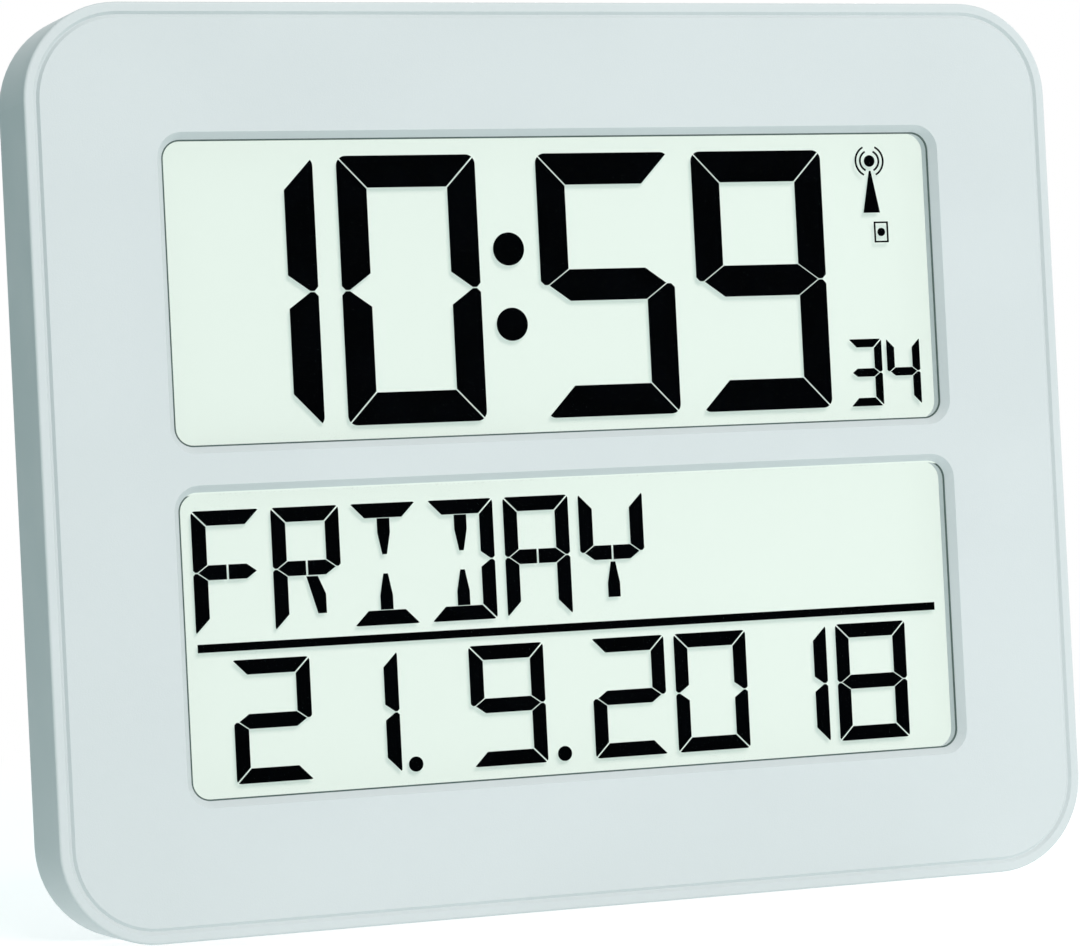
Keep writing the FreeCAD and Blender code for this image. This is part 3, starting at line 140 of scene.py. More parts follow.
class MarkSizes(bpy.types.PropertyGroup):
    """Raised marks and grip lines on the back."""

    line_width: length("Line width", 0.0007, "Width of a raised line")
    line_height: length("Line height", 0.00028, "How far a raised line stands out")
    drop: length("Drop", 0.0085, "Distance of a button's mark below the middle of its button")
    size: length("Mark size", 0.0022, "Half the width of a button's mark")
    grip_pitch: length("Grip pitch", 0.0019, "Distance between two grip lines")
    grip_count: IntProperty(name="Grip lines", description="How many lines a grip has", default=5, min=1)


class CellLook(bpy.types.PropertyGroup):
    """Batteries, springs and antenna winding."""

    jacket: colour("Jacket", tone(38, 92, 104), "Main colour of the battery sleeve")
    band: colour("Band", tone(203, 208, 204), "Pale band at the positive end")
    crimp: length("Crimp radius", 0.0006, "Rounding at the ends of a battery")
    wire: length("Spring wire", 0.0008, "Diameter of the contact springs' wire")
    turns: FloatProperty(name="Spring turns", description="Free turns of a contact spring",
                         default=3.5, min=1.0)
    winding: length("Winding pitch", 0.0006, "Distance between two turns of the antenna coil")


class StudioSettings(bpy.types.PropertyGroup):
    """Camera, lights and floor."""

    camera_place: FloatVectorProperty(name="Camera place", description="Where the camera stands",
                                      subtype="TRANSLATION", unit="LENGTH", size=3,
                                      default=(-0.36993, -0.90435, 0.08606))
    camera_turn: FloatVectorProperty(name="Camera turn", description="How the camera is turned",
                                     subtype="EULER", size=3,
                                     default=[math.radians(turn) for turn in (90.9457, 2.8708, -21.9850)])
    lens: FloatProperty(name="Lens", description="Focal length for a sensor 36 mm wide",
                        default=137.353, min=1.0, unit="CAMERA")
    soft_light: colour("Soft light", (0.725, 0.76, 0.76), "Soft light from nearly all round")
    card: colour("Dark card", (0.0, 0.10, 0.10), "Soft light from the left, behind the clock")
    key_tint: colour("Key tint", (1.0, 0.82, 0.815), "Tint of the front lamp, against the cool soft light")
    key_level: amount("Key level", 0.345, "Brightness that the front lamp gives a surface facing it")
    back_tint: colour("Back tint", (1.0, 0.88, 0.875), "Tint of the lamp behind the clock")
    back_level: amount("Back level", 0.50, "Brightness that the back lamp gives a surface facing it")
    lamp_distance: length("Lamp distance", 8.0, "Distance of the lamps from the clock")
    lamp_size: length("Lamp size", 3.4, "Side of the square lamps")
    floor: colour("Floor", (0.86, 0.90, 0.90), "Colour of the floor")
    floor_dim: colour("Dim floor", (0.26, 0.37, 0.37), "Colour of the floor in front of the dark card")
    floor_glow: amount("Floor glow", 0.20, "Light that the floor gives the clock from below")
    floor_lift: amount("Floor lift", 0.38, "White added to the floor where it is seen, so that it looks pale")
    dim_lift: amount("Dim floor lift", 0.76, "White added in the same way where the floor is dim")
    floor_clear: length("Floor clear radius", 0.9, "Where the floor has faded into the plain background")


class DayClockSettings(bpy.types.PropertyGroup):
    """All settings of the day clock."""

    case: PointerProperty(type=CaseLook)
    display: PointerProperty(type=DisplayLook)
    marks: PointerProperty(type=MarkSizes)
    cells: PointerProperty(type=CellLook)
    studio: PointerProperty(type=StudioSettings)


# Building node trees

def add(tree, kind, inputs=None, **settings):
    """Add a node, set its settings, and fill its inputs with values or links."""
    node = tree.nodes.new(kind)
    for name, value in settings.items():
        setattr(node, name, value)
    for name, value in (inputs or {}).items():
        feed(tree, node.inputs[name], value)
    return node


def feed(tree, socket, value):
    """Link a socket to another, or set its own value."""
    if isinstance(value, bpy.types.NodeSocket):
        tree.links.new(value, socket)
    elif hasattr(socket.default_value, "__len__") and len(socket.default_value) == 4 and len(value) == 3:
        socket.default_value = (*value, 1.0)
    else:
        socket.default_value = value


def math_node(tree, operation, first, second=0.0):
    """Result of one sum on two numbers or sockets."""
    return add(tree, "ShaderNodeMath", {0: first, 1: second}, operation=operation).outputs[0]


def one_over(tree, value):
    """The scale that makes a pattern of the given size."""
    return math_node(tree, "DIVIDE", 1.0, value)


def ranged(tree, value, low, high, to_low=0.0, to_high=1.0, kind="SMOOTHSTEP"):
    """Value carried from one range to another, held at the ends."""
    inputs = {"Value": value, "From Min": low, "From Max": high, "To Min": to_low, "To Max": to_high}
    return add(tree, "ShaderNodeMapRange", inputs, interpolation_type=kind).outputs["Result"]


def between(tree, mask, first, second):
    """Number that goes from first to second as the mask goes from 0 to 1."""
    return ranged(tree, mask, 0.0, 1.0, first, second)


def up_to(tree, distance, limit, blur):
    """Mask that is 1 up to a limit of the distance, and falls to 0 within the blur past it."""
    return ranged(tree, distance, limit, limit + blur, 1.0, 0.0)


def mixed(tree, mask, first, second):
    """Colour that goes from first to second as the mask goes from 0 to 1."""
    node = add(tree, "ShaderNodeMix", data_type="RGBA")
    factor, colour_a, colour_b = node.inputs[0], node.inputs[6], node.inputs[7]
    feed(tree, factor, mask)
    feed(tree, colour_a, first)
    feed(tree, colour_b, second)
    return node.outputs[2]


def place(tree):
    """Where a point is on the object, in metres."""
    return add(tree, "ShaderNodeTexCoord").outputs["Object"]


def along(tree, axis):
    """One coordinate of that place, X, Y or Z."""
    return add(tree, "ShaderNodeSeparateXYZ", {"Vector": place(tree)}).outputs[axis]


def noise(tree, scale, detail, **more):
    """Soft random field over the object, from 0 to 1."""
    inputs = {"Vector": place(tree), "Scale": scale, "Detail": detail, **more}
    return add(tree, "ShaderNodeTexNoise", inputs).outputs["Fac"]


def cells_apart(tree, scale):
    """Distance of a point from the nearest of many scattered points, in units of their spacing."""
    inputs = {"Vector": place(tree), "Scale": scale}
    return add(tree, "ShaderNodeTexVoronoi", inputs).outputs["Distance"]


def bump(tree, height, depth):
    """Normal of a surface whose height runs over the given depth."""
    inputs = {"Height": height, "Distance": depth, "Strength": 1.0}
    return add(tree, "ShaderNodeBump", inputs).outputs["Normal"]


def new_group(name, inputs, outputs):
    """Empty node group with float inputs and outputs, its tree, and its two end nodes."""
    tree = bpy.data.node_groups.new(name, "ShaderNodeTree")
    for label, default in inputs.items():
        socket = tree.interface.new_socket(label, in_out="INPUT", socket_type="NodeSocketFloat")
        socket.default_value = default
    for label in outputs:
        tree.interface.new_socket(label, in_out="OUTPUT", socket_type="NodeSocketFloat")
    return tree, tree.nodes.new("NodeGroupInput"), tree.nodes.new("NodeGroupOutput")


def moulded_grain_group():
    """Fine random texture of a spark-eroded mould, and the soft flow marks under it."""
    sizes = {"Grain Size": 0.0004, "Flow Size": 0.04}
    tree, given, result = new_group("Moulded grain", sizes, ("Height", "Flow"))
    fine = noise(tree, one_over(tree, given.outputs["Grain Size"]), 2.0)
    flow = noise(tree, one_over(tree, given.outputs["Flow Size"]), 1.0)
    feed(tree, result.inputs["Height"], ranged(tree, fine, 0.3, 0.7))
    feed(tree, result.inputs["Flow"], ranged(tree, flow, 0.35, 0.65))
    return tree


def drawn_lines_group():
    """Fine parallel lines of drawn or rolled metal. They run along Z, the way the noise is stretched."""
    tree, given, result = new_group("Drawn lines", {"Line Size": 0.00008, "Stretch": 20.0}, ("Height",))
    across = one_over(tree, given.outputs["Line Size"])
    down = math_node(tree, "DIVIDE", across, given.outputs["Stretch"])
    parts = add(tree, "ShaderNodeSeparateXYZ", {"Vector": place(tree)}).outputs
    scaled = {axis: math_node(tree, "MULTIPLY", parts[axis], scale)
              for axis, scale in (("X", across), ("Y", across), ("Z", down))}
    stretched = add(tree, "ShaderNodeCombineXYZ", scaled).outputs["Vector"]
    lines = add(tree, "ShaderNodeTexNoise", {"Vector": stretched, "Scale": 1.0, "Detail": 2.0})
    feed(tree, result.inputs["Height"], lines.outputs["Fac"])
    return tree


def handling_group():
    """Soft smudges that change the sheen where hands have been."""
    tree, given, result = new_group("Handling", {"Smudge Size": 0.02}, ("Mask",))
    smudges = noise(tree, one_over(tree, given.outputs["Smudge Size"]), 4.0, Roughness=0.6)
    feed(tree, result.inputs["Mask"], ranged(tree, smudges, 0.4, 0.7))
    return tree


GROUPS = {"Moulded grain": moulded_grain_group, "Drawn lines": drawn_lines_group, "Handling": handling_group}


def use_group(tree, name, **sizes):
    """Place a shared node group in a material, building it the first time; gives its outputs."""
    node = tree.nodes.new("ShaderNodeGroup")
    node.node_tree = bpy.data.node_groups.get(name) or GROUPS[name]()
    for label, value in sizes.items():
        node.inputs[socket_name(label)].default_value = value
    return node.outputs


def socket_name(label):
    """Name of a socket from its plain label: base_color is Base Color."""
    return label.replace("_", " ").title().replace("Ior", "IOR")


def fill_shader(material, **values):
    """Set or link sockets of a material's shader, each by its plain label; gives the material."""
    tree = material.node_tree
    shader = tree.nodes["Principled BSDF"]
    for label, value in values.items():
        feed(tree, shader.inputs[socket_name(label)], value)
    return material


def new_material(name, **values):
    """Material with one Principled shader, whose plain sockets are set from values, and its node tree."""
    material = bpy.data.materials.new(name + FINISH_SUFFIX)
    material.use_nodes = True
    return fill_shader(material, **values), material.node_tree


# Finishes, one function for each material slot

def moulded_plastic(name, main, shade, case, roughness=None, grain_scale=1.0):
    """Matt moulded plastic: fine mould grain, faint flow marks, and a sheen that handling changes."""
    material, tree = new_material(name, specular_ior_level=0.35)
    grain_size = case.grain_size * grain_scale
    grain = use_group(tree, "Moulded grain", grain_size=grain_size, flow_size=case.flow_size)
    hands = use_group(tree, "Handling")["Mask"]
    rough = case.roughness if roughness is None else roughness
    return fill_shader(material, base_color=mixed(tree, grain["Flow"], main, shade),
                       roughness=between(tree, hands, rough, rough * 0.9),
                       normal=bump(tree, grain["Height"], case.grain_depth))


def housing_plastic(settings):
    """Pale cool grey of both housings, the battery cover and the stand."""
    case = settings.case
    return moulded_plastic("housing_plastic", case.shell, case.shell_shade, case)


def button_plastic(settings):
    """Grey keys, a little smoother than the case."""
    case = settings.case
    return moulded_plastic("button_plastic", case.key, darker(case.key, 0.93), case, 0.42, 0.6)


def holder_plastic(settings):
    """White inner frame."""
    case = settings.case
    return moulded_plastic("holder_plastic", case.holder, darker(case.holder, 0.95), case, 0.5)


def switch_plastic(settings):
    """Black switch cases."""
    return moulded_plastic("switch_plastic", tone(52, 52, 55), tone(44, 44, 47), settings.case, 0.45, 0.5)


def plunger_plastic(settings):
    """Black switch plungers, glossier than their cases."""
    return moulded_plastic("plunger_plastic", tone(60, 60, 63), tone(50, 50, 54), settings.case, 0.3, 0.5)


def seal_rubber(settings):
    """Soft dull rubber with a dusty grain: the dark ring round each window, its dark colour partly painted
    shade for the shadow line at the window's edge.
    Along the upper edge of the lower window, where that shadow line is not seen, the ring is painted in the
    film's pale colour."""
    display = settings.display
    material, tree = new_material("seal_rubber", specular_ior_level=0.25)
    grain = use_group(tree, "Moulded grain", grain_size=0.25 * MM, flow_size=12.0 * MM)
    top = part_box("date_window_seal")[1].z
    z = along(tree, "Z")
    # Mask of the lower window's upper edge, where no shadow line is seen: there the ring is painted in the
    # film's colour instead of its painted shade
    pale_where_unshaded = math_node(tree, "MULTIPLY", ranged(tree, z, top - 0.9 * MM, top - 0.5 * MM),
                           up_to(tree, z, top + 1.0 * MM, 1.0 * MM))
    # Dark colour of the ring: the rubber's own colour, and painted shade for the shadow line at the window's
    # edge
    dark = mixed(tree, grain["Flow"], display.seal, darker(display.seal, 0.82))
    return fill_shader(material, base_color=mixed(tree, pale_where_unshaded, dark, display.film),
                       roughness=between(tree, grain["Height"], 0.62, 0.8),
                       normal=bump(tree, grain["Height"], 0.01 * MM))


def contact_rubber(settings):
    """Zebra strip: black and pale layers side by side along the strip."""
    layer = 0.2 * MM
    material, tree = new_material("contact_rubber", roughness=0.6)
    phase = math_node(tree, "PINGPONG", along(tree, "X"), layer)
    mask = ranged(tree, phase, layer * 0.4, layer * 0.6)
    return fill_shader(material, base_color=mixed(tree, mask, tone(40, 40, 42), tone(196, 192, 186)),
                       normal=bump(tree, mask, 0.01 * MM))


def clear_sheet(name, tint, display):
    """Clear sheet: nearly invisible seen square on, with a sheen that grows at a glancing view."""
    material, tree = new_material(name, base_color=tint, specular_ior_level=0.5)
    facing = add(tree, "ShaderNodeLayerWeight", {"Blend": 0.5}).outputs["Facing"]
    hands = use_group(tree, "Handling", smudge_size=0.03)["Mask"]
    return fill_shader(material, roughness=between(tree, hands, 0.05, 0.12),
                       alpha=ranged(tree, facing, 0.45, 1.0, display.clear_haze, display.glancing_haze))


def clear_lens(settings):
    """Acrylic window lens."""
    return clear_sheet("clear_lens", tone(120, 132, 130), settings.display)


def display_glass(settings):
    """Thin display glass, faintly green."""
    return clear_sheet("display_glass", tone(96, 116, 106), settings.display)


def reflector_film(settings):
    """Pale film behind the segments, with a very fine sparkle."""
    display = settings.display
    material, tree = new_material("reflector_film", specular_ior_level=0.2)
    grain = use_group(tree, "Moulded grain", grain_size=display.film_grain, flow_size=0.06)
    return fill_shader(material,
                       base_color=mixed(tree, grain["Height"], darker(display.film, 0.975), display.film),
                       roughness=between(tree, grain["Flow"], 0.6, 0.7))


def cell_sealant(settings):
    """Milky resin between the sheets of a display, with small bubbles."""
    material, tree = new_material("cell_sealant", roughness=0.5)
    mask = ranged(tree, cells_apart(tree, 2500.0), 0.1, 0.5)
    return fill_shader(material, base_color=mixed(tree, mask, tone(214, 229, 220), tone(230, 245, 236)))


def lit_segment(settings):
    """Driven segment: near black, with the faint unevenness of the crystal."""
    display = settings.display
    material, tree = new_material("lit_segment", specular_ior_level=0.0)
    grain = use_group(tree, "Moulded grain", grain_size=display.film_grain, flow_size=0.01)
    return fill_shader(material,
                       base_color=mixed(tree, grain["Flow"], display.segment, darker(display.segment, 0.6)),
                       roughness=between(tree, grain["Height"], 0.75, 0.85))


def circuit_board(settings):
    """Green solder mask over copper tracks, with tinned pads at the vias."""
    material, tree = new_material("circuit_board", coat_weight=0.3, coat_roughness=0.2)
    flat = add(tree, "ShaderNodeCombineXYZ", {"X": along(tree, "X"), "Y": along(tree, "Z")}).outputs["Vector"]
    tracks = add(tree, "ShaderNodeTexBrick", {"Vector": flat, "Scale": 90.0, "Mortar Size": 0.03,
                                              "Brick Width": 0.9, "Row Height": 0.16}).outputs["Fac"]
    pad = up_to(tree, cells_apart(tree, 260.0), 0.10, 0.03)
    mask = mixed(tree, tracks, tone(24, 92, 56), tone(40, 124, 74))
    return fill_shader(material, base_color=mixed(tree, pad, mask, tone(196, 188, 160)),
                       metallic=math_node(tree, "MULTIPLY", pad, 0.8),
                       roughness=between(tree, tracks, 0.42, 0.34), normal=bump(tree, tracks, 0.03 * MM))


def chip_resin(settings):
    """Black resin drop with the ripples of its setting."""
    material, tree = new_material("chip_resin", roughness=0.22)
    ripples = noise(tree, 420.0, 3.0)
    return fill_shader(material, base_color=mixed(tree, ripples, tone(20, 20, 21), tone(34, 34, 35)),
                       normal=bump(tree, ripples, 0.12 * MM))


def drawn_metal(name, main, rough, line_size=0.08 * MM, stretch=20.0):
    """Bare or plated metal with fine drawn lines and duller patches."""
    material, tree = new_material(name, metallic=1.0)
    lines = use_group(tree, "Drawn lines", line_size=line_size, stretch=stretch)["Height"]
    hands = use_group(tree, "Handling", smudge_size=0.004)["Mask"]
    return fill_shader(material, base_color=mixed(tree, hands, main, darker(main, 0.85)),
                       roughness=ranged(tree, lines, 0.3, 0.7, rough, rough + 0.14),
                       normal=bump(tree, lines, 0.008 * MM))


def crystal_can(settings):
    """Tinned can of the quartz crystal."""
    return drawn_metal("crystal_can", tone(214, 214, 210), 0.25)


def screw_steel(settings):
    """Zinc-plated screws."""
    return drawn_metal("screw_steel", tone(196, 198, 198), 0.3, 0.12 * MM, 4.0)


def contact_nickel(settings):
    """Nickel-plated spring steel."""
    return drawn_metal("contact_nickel", tone(222, 219, 211), 0.22)


def copper_winding(settings):
    """Lacquered copper wire, with fine lines lighter and darker."""
    material, tree = new_material("copper_winding", metallic=0.85, coat_weight=0.4, coat_roughness=0.15)
    lines = use_group(tree, "Drawn lines", line_size=0.1 * MM, stretch=8.0)["Height"]
    return fill_shader(material, base_color=mixed(tree, lines, tone(150, 78, 38), tone(196, 112, 60)),
                       roughness=between(tree, lines, 0.28, 0.4))


def capacitor_sleeve(settings):
    """Dark blue sleeve with a pale stripe down one side and a bare aluminium top."""
    stripe_width, top_depth = 0.8 * MM, 0.25 * MM
    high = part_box("capacitors")[1]
    material, tree = new_material("capacitor_sleeve")
    stripe = math_node(tree, "GREATER_THAN", along(tree, "X"), high.x - stripe_width)
    top = math_node(tree, "GREATER_THAN", along(tree, "Y"), high.y - top_depth)
    hands = use_group(tree, "Handling", smudge_size=0.003)["Mask"]
    sleeve = mixed(tree, hands, tone(30, 38, 84), tone(24, 30, 70))
    striped = mixed(tree, stripe, sleeve, tone(186, 192, 206))
    return fill_shader(material, base_color=mixed(tree, top, striped, tone(206, 208, 210)), metallic=top,
                       roughness=between(tree, hands, 0.25, 0.38))


def ceramic_part(settings):
    """Flat parts on the board: ceramic bodies with tinned ends, brown in one row and black in the other."""
    pitch, half_part, half_body, blur = 5.6 * MM, 1.0 * MM, 0.62 * MM, 0.05 * MM
    low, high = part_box("small_parts")
    material, tree = new_material("ceramic_part")
    from_first = math_node(tree, "SUBTRACT", along(tree, "X"), low.x + half_part)
    aside = math_node(tree, "PINGPONG", from_first, pitch / 2)
    tinned = ranged(tree, aside, half_body, half_body + blur)
    upper = math_node(tree, "GREATER_THAN", along(tree, "Z"), (low.z + high.z) / 2)
    hands = use_group(tree, "Handling", smudge_size=0.001)["Mask"]
    brown = mixed(tree, hands, tone(150, 112, 74), tone(132, 96, 62))
    body = mixed(tree, upper, brown, tone(26, 26, 28))
    return fill_shader(material, base_color=mixed(tree, tinned, body, tone(210, 210, 208)), metallic=tinned,
                       roughness=between(tree, hands, 0.35, 0.5))


def ferrite(settings):
    """Dark sintered ferrite with fine speckles."""
    material, tree = new_material("ferrite")
    mask = ranged(tree, noise(tree, 3000.0, 2.0), 0.45, 0.7)
    return fill_shader(material, base_color=mixed(tree, mask, tone(48, 48, 51), tone(82, 82, 86)),
                       roughness=between(tree, mask, 0.7, 0.5), normal=bump(tree, mask, 0.02 * MM))


def lead_insulation(name, main):
    """Insulation of a lead: soft gloss with faint patches."""
    material, tree = new_material(name, specular_ior_level=0.45)
    grain = use_group(tree, "Moulded grain", grain_size=0.5 * MM, flow_size=4.0 * MM)
    return fill_shader(material, base_color=mixed(tree, grain["Flow"], main, darker(main, 0.85)),
                       roughness=between(tree, grain["Height"], 0.34, 0.46),
                       normal=bump(tree, grain["Height"], 0.01 * MM))


def lead_grey(settings):
    """Grey lead."""
    return lead_insulation("lead_grey", tone(168, 170, 172))


def lead_red(settings):
    """Red battery lead."""
    return lead_insulation("lead_red", tone(196, 34, 30))


def lead_black(settings):
    """Black battery lead."""
    return lead_insulation("lead_black", tone(36, 36, 38))


# Print on a battery sleeve, measured from the end with the nub, and the bare metal at both ends

BAND_LENGTH = 12.0 * MM
LINE_START = 13.0 * MM
LINE_END = 13.7 * MM
PRINT_BLUR = 0.1 * MM
BARE_AT_NUB = 1.75 * MM
BARE_AT_FLAT = 0.25 * MM
BARE_BLUR = 0.05 * MM
BAND_WEAR = 0.04


def battery_sleeve(settings, name, low, high, positive):
    """Printed sleeve in two plain bands with bare metal ends; positive is 1 where the nub looks along +X."""
    cells = settings.cells
    material, tree = new_material(name, coat_weight=0.5, coat_roughness=0.12)
    nub_end, flat_end = (high.x, low.x) if positive > 0 else (low.x, high.x)
    x = along(tree, "X")
    from_nub = math_node(tree, "ABSOLUTE", math_node(tree, "SUBTRACT", x, nub_end))
    from_flat = math_node(tree, "ABSOLUTE", math_node(tree, "SUBTRACT", x, flat_end))
    line = math_node(tree, "MULTIPLY", ranged(tree, from_nub, LINE_START, LINE_START + PRINT_BLUR),
                     up_to(tree, from_nub, LINE_END, PRINT_BLUR))
    pale = math_node(tree, "MAXIMUM", up_to(tree, from_nub, BAND_LENGTH, PRINT_BLUR), line)
    bare = math_node(tree, "MAXIMUM", up_to(tree, from_nub, BARE_AT_NUB, BARE_BLUR),
                     up_to(tree, from_flat, BARE_AT_FLAT, BARE_BLUR))
    hands = use_group(tree, "Handling", smudge_size=0.006)["Mask"]
    worn_band = mixed(tree, math_node(tree, "MULTIPLY", hands, BAND_WEAR), cells.band, cells.jacket)
    sleeve = mixed(tree, pale, cells.jacket, worn_band)
    return fill_shader(material, base_color=mixed(tree, bare, sleeve, tone(205, 205, 200)),
                       metallic=between(tree, bare, 0.35, 1.0), roughness=between(tree, hands, 0.3, 0.4))


FINISHES = (housing_plastic, button_plastic, holder_plastic, switch_plastic, plunger_plastic, seal_rubber,
            contact_rubber, clear_lens, display_glass, reflector_film, cell_sealant, lit_segment,
            circuit_board, chip_resin, crystal_can, screw_steel, contact_nickel, copper_winding,
            capacitor_sleeve, ceramic_part, ferrite, lead_grey, lead_red, lead_black)
FINISH_OF_SLOT = {finish.__name__: finish for finish in FINISHES}


def finish_for(slot, settings):
    """The material of a slot, made the first time it is asked for."""
    return bpy.data.materials.get(slot + FINISH_SUFFIX) or FINISH_OF_SLOT[slot](settings)


def pieces_with_slots(*slots):
    """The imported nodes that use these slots, each by its name."""
    return {name: frame["nodes"][name] for name, slot in SLOT_OF_NODE.items() if slot in slots}


def dress(settings, *slots):
    """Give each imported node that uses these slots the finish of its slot."""
    for name, piece in pieces_with_slots(*slots).items():
        material = finish_for(SLOT_OF_NODE[name], settings)
        if not piece.material_slots:
            piece.data.materials.append(material)
        for slot in piece.material_slots:
            slot.material = material


def cast_no_shadow(*pieces):
    """Keep pieces from shading what lies beside or behind them."""
    for piece in pieces:
        piece.visible_shadow = False


def give_no_bounce(*pieces):
    """Keep pieces from darkening or tinting their neighbours with bounced light."""
    for piece in pieces:
        piece.visible_diffuse = False


# Surfaces worked out on grids

class Skin:
    """Vertices and faces of one piece, gathered shell by shell."""

    def __init__(self):
        self.points = []
        self.faces = []
        self.count = 0

    def add(self, rings, start=None, end=None, looped=False):
        """Add a closed shell. rings has the shape (rings, points, 3): each ring closes on itself and is
        joined to the next by four-sided faces. start and end are the poles that close the first and last
        ring with triangles; a looped shell joins its last ring to its first instead. Faces are turned
        outwards."""
        rows, columns = rings.shape[:2]
        index = np.arange(rows * columns).reshape(rows, columns)
        near, far = (index, np.roll(index, -1, axis=0)) if looped else (index[:-1], index[1:])
        near_beside, far_beside = np.roll(near, -1, axis=1), np.roll(far, -1, axis=1)
        quads = np.stack([near, near_beside, far_beside, far], axis=-1).reshape(-1, 4)
        points = rings.reshape(-1, 3)
        faces = quads.tolist()
        if not looped:
            points = np.vstack([points, start, end])
            first, last = rows * columns, rows * columns + 1
            faces += np.stack([np.full(columns, first), near_beside[0], near[0]], axis=-1).tolist()
            faces += np.stack([np.full(columns, last), far[-1], far_beside[-1]], axis=-1).tolist()
        if self.volume(points, faces) < 0:
            faces = [face[::-1] for face in faces]
        self.faces += [[corner + self.count for corner in face] for face in faces]
        self.points.append(points)
        self.count += len(points)

    @staticmethod
    def volume(points, faces):
        """Signed volume: the sum over triangles of a dot (b cross c) / 6."""
        corners = np.array([(face[0], face[i], face[i + 1])
                            for face in faces for i in range(1, len(face) - 1)])
        a, b, c = (points[corners[:, i]] for i in range(3))
        return float(np.einsum("ij,ij->i", a, np.cross(b, c)).sum()) / 6.0

    def build(self, name, sharp=40.0):
        """Mesh object of everything gathered, smooth except across edges sharper than the given angle."""
        mesh = bpy.data.meshes.new(name)
        mesh.from_pydata(np.vstack(self.points).tolist(), [], self.faces)
        mesh.shade_smooth()
        mesh.set_sharp_from_angle(angle=math.radians(sharp))
        mesh.update()
        piece = bpy.data.objects.new(name, mesh)
        bpy.context.scene.collection.objects.link(piece)
        return piece


def place_piece(piece, body, material, replaced=()):
    """Give a new piece its finish and its body, and hide the nodes that it stands for."""
    piece.data.materials.append(material)
    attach(piece, body)
    if replaced:
        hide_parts(*replaced)
    return piece


def rounded_profile(points, radius, steps=6):
    """Broken line whose inner corners are replaced by parabolas that leave it one radius before each corner
    and join it one radius after: B(t) = (1-t)^2 before + 2t(1-t) corner + t^2 after."""
    points = np.array(points, float)
    out = [points[0]]
    t = np.linspace(0.0, 1.0, steps)[:, None]
    for before, corner, after in zip(points, points[1:], points[2:]):
        back, ahead = before - corner, after - corner
        reach = min(radius, np.linalg.norm(back) / 2, np.linalg.norm(ahead) / 2)
        first = corner + back / np.linalg.norm(back) * reach
        last = corner + ahead / np.linalg.norm(ahead) * reach
        out.extend((1 - t) ** 2 * first + 2 * t * (1 - t) * corner + t ** 2 * last)
    out.append(points[-1])
    return np.array(out)


def turned(skin, profile, centre_y, centre_z, sides=72):
    """Add a body turned about a line along X: ring i has the radius r_i at x_i, its points at
    (x_i, y + r_i cos a, z + r_i sin a). The profile's first and last points lie on the line, as poles."""
    angle = np.linspace(0.0, 2 * math.pi, sides, endpoint=False)
    x, radius = profile[1:-1, 0], profile[1:-1, 1]
    rings = np.stack([np.repeat(x[:, None], sides, axis=1),
                      centre_y + radius[:, None] * np.cos(angle),
                      centre_z + radius[:, None] * np.sin(angle)], axis=-1)
    poles = [np.array([profile[end, 0], centre_y, centre_z]) for end in (0, -1)]
    skin.add(rings, *poles)


def rounded_loop(half_u, half_v, corner, steps=9):
    """Closed loop of a rectangle with round corners: quarter circles about each (+-(u - r), +-(v - r))."""
    quarter = np.arange(4)[:, None]
    angle = math.pi / 2 * (quarter + np.linspace(0.0, 1.0, steps))
    side_u = np.where((quarter == 0) | (quarter == 3), 1.0, -1.0)
    side_v = np.where(quarter < 2, 1.0, -1.0)
    u = side_u * (half_u - corner) + corner * np.cos(angle)
    v = side_v * (half_v - corner) + corner * np.sin(angle)
    return u.ravel(), v.ravel()


def slab(skin, low, high, corner, edge, axis, hair=0.0):
    """Add a flat plate that fills the box from low to high: its rounded outline is carried through the
    thickness along the given axis (0, 1 or 2), drawn in by the edge at both faces, and all of it lies a hair
    inside the box."""
    low, high = np.array(low) + hair, np.array(high) - hair
    across = [other for other in range(3) if other != axis]
    middle, half = (low + high) / 2, (high - low) / 2
    depth = (low[axis], low[axis] + edge, high[axis] - edge, high[axis])
    rings = []
    for place_through, inset in zip(depth, (edge, 0.0, 0.0, edge)):
        u, v = rounded_loop(half[across[0]] - inset, half[across[1]] - inset, corner)
        ring = np.empty((u.size, 3))
        ring[:, axis] = place_through
        ring[:, across[0]] = middle[across[0]] + u
        ring[:, across[1]] = middle[across[1]] + v
        rings.append(ring)
    poles = [middle.copy(), middle.copy()]
    poles[0][axis], poles[1][axis] = depth[0], depth[-1]
    skin.add(np.array(rings), *poles)


def wire(skin, path, outward, radius, sides=14):
    """Add a round wire along a path. At each point the section is the circle p + radius (cos a n + sin a b),
    where n is the outward direction made square to the path and b = path x n."""
    ahead = np.gradient(path, axis=0)
    ahead /= np.linalg.norm(ahead, axis=1, keepdims=True)
    across = outward - np.einsum("ij,ij->i", outward, ahead)[:, None] * ahead
    across /= np.linalg.norm(across, axis=1, keepdims=True)
    beside = np.cross(ahead, across)
    angle = np.linspace(0.0, 2 * math.pi, sides, endpoint=False)
    section = np.cos(angle)[:, None] * across[:, None] + np.sin(angle)[:, None] * beside[:, None]
    bulge = radius / 3
    skin.add(path[:, None] + radius * section, path[0] - ahead[0] * bulge, path[-1] + ahead[-1] * bulge)


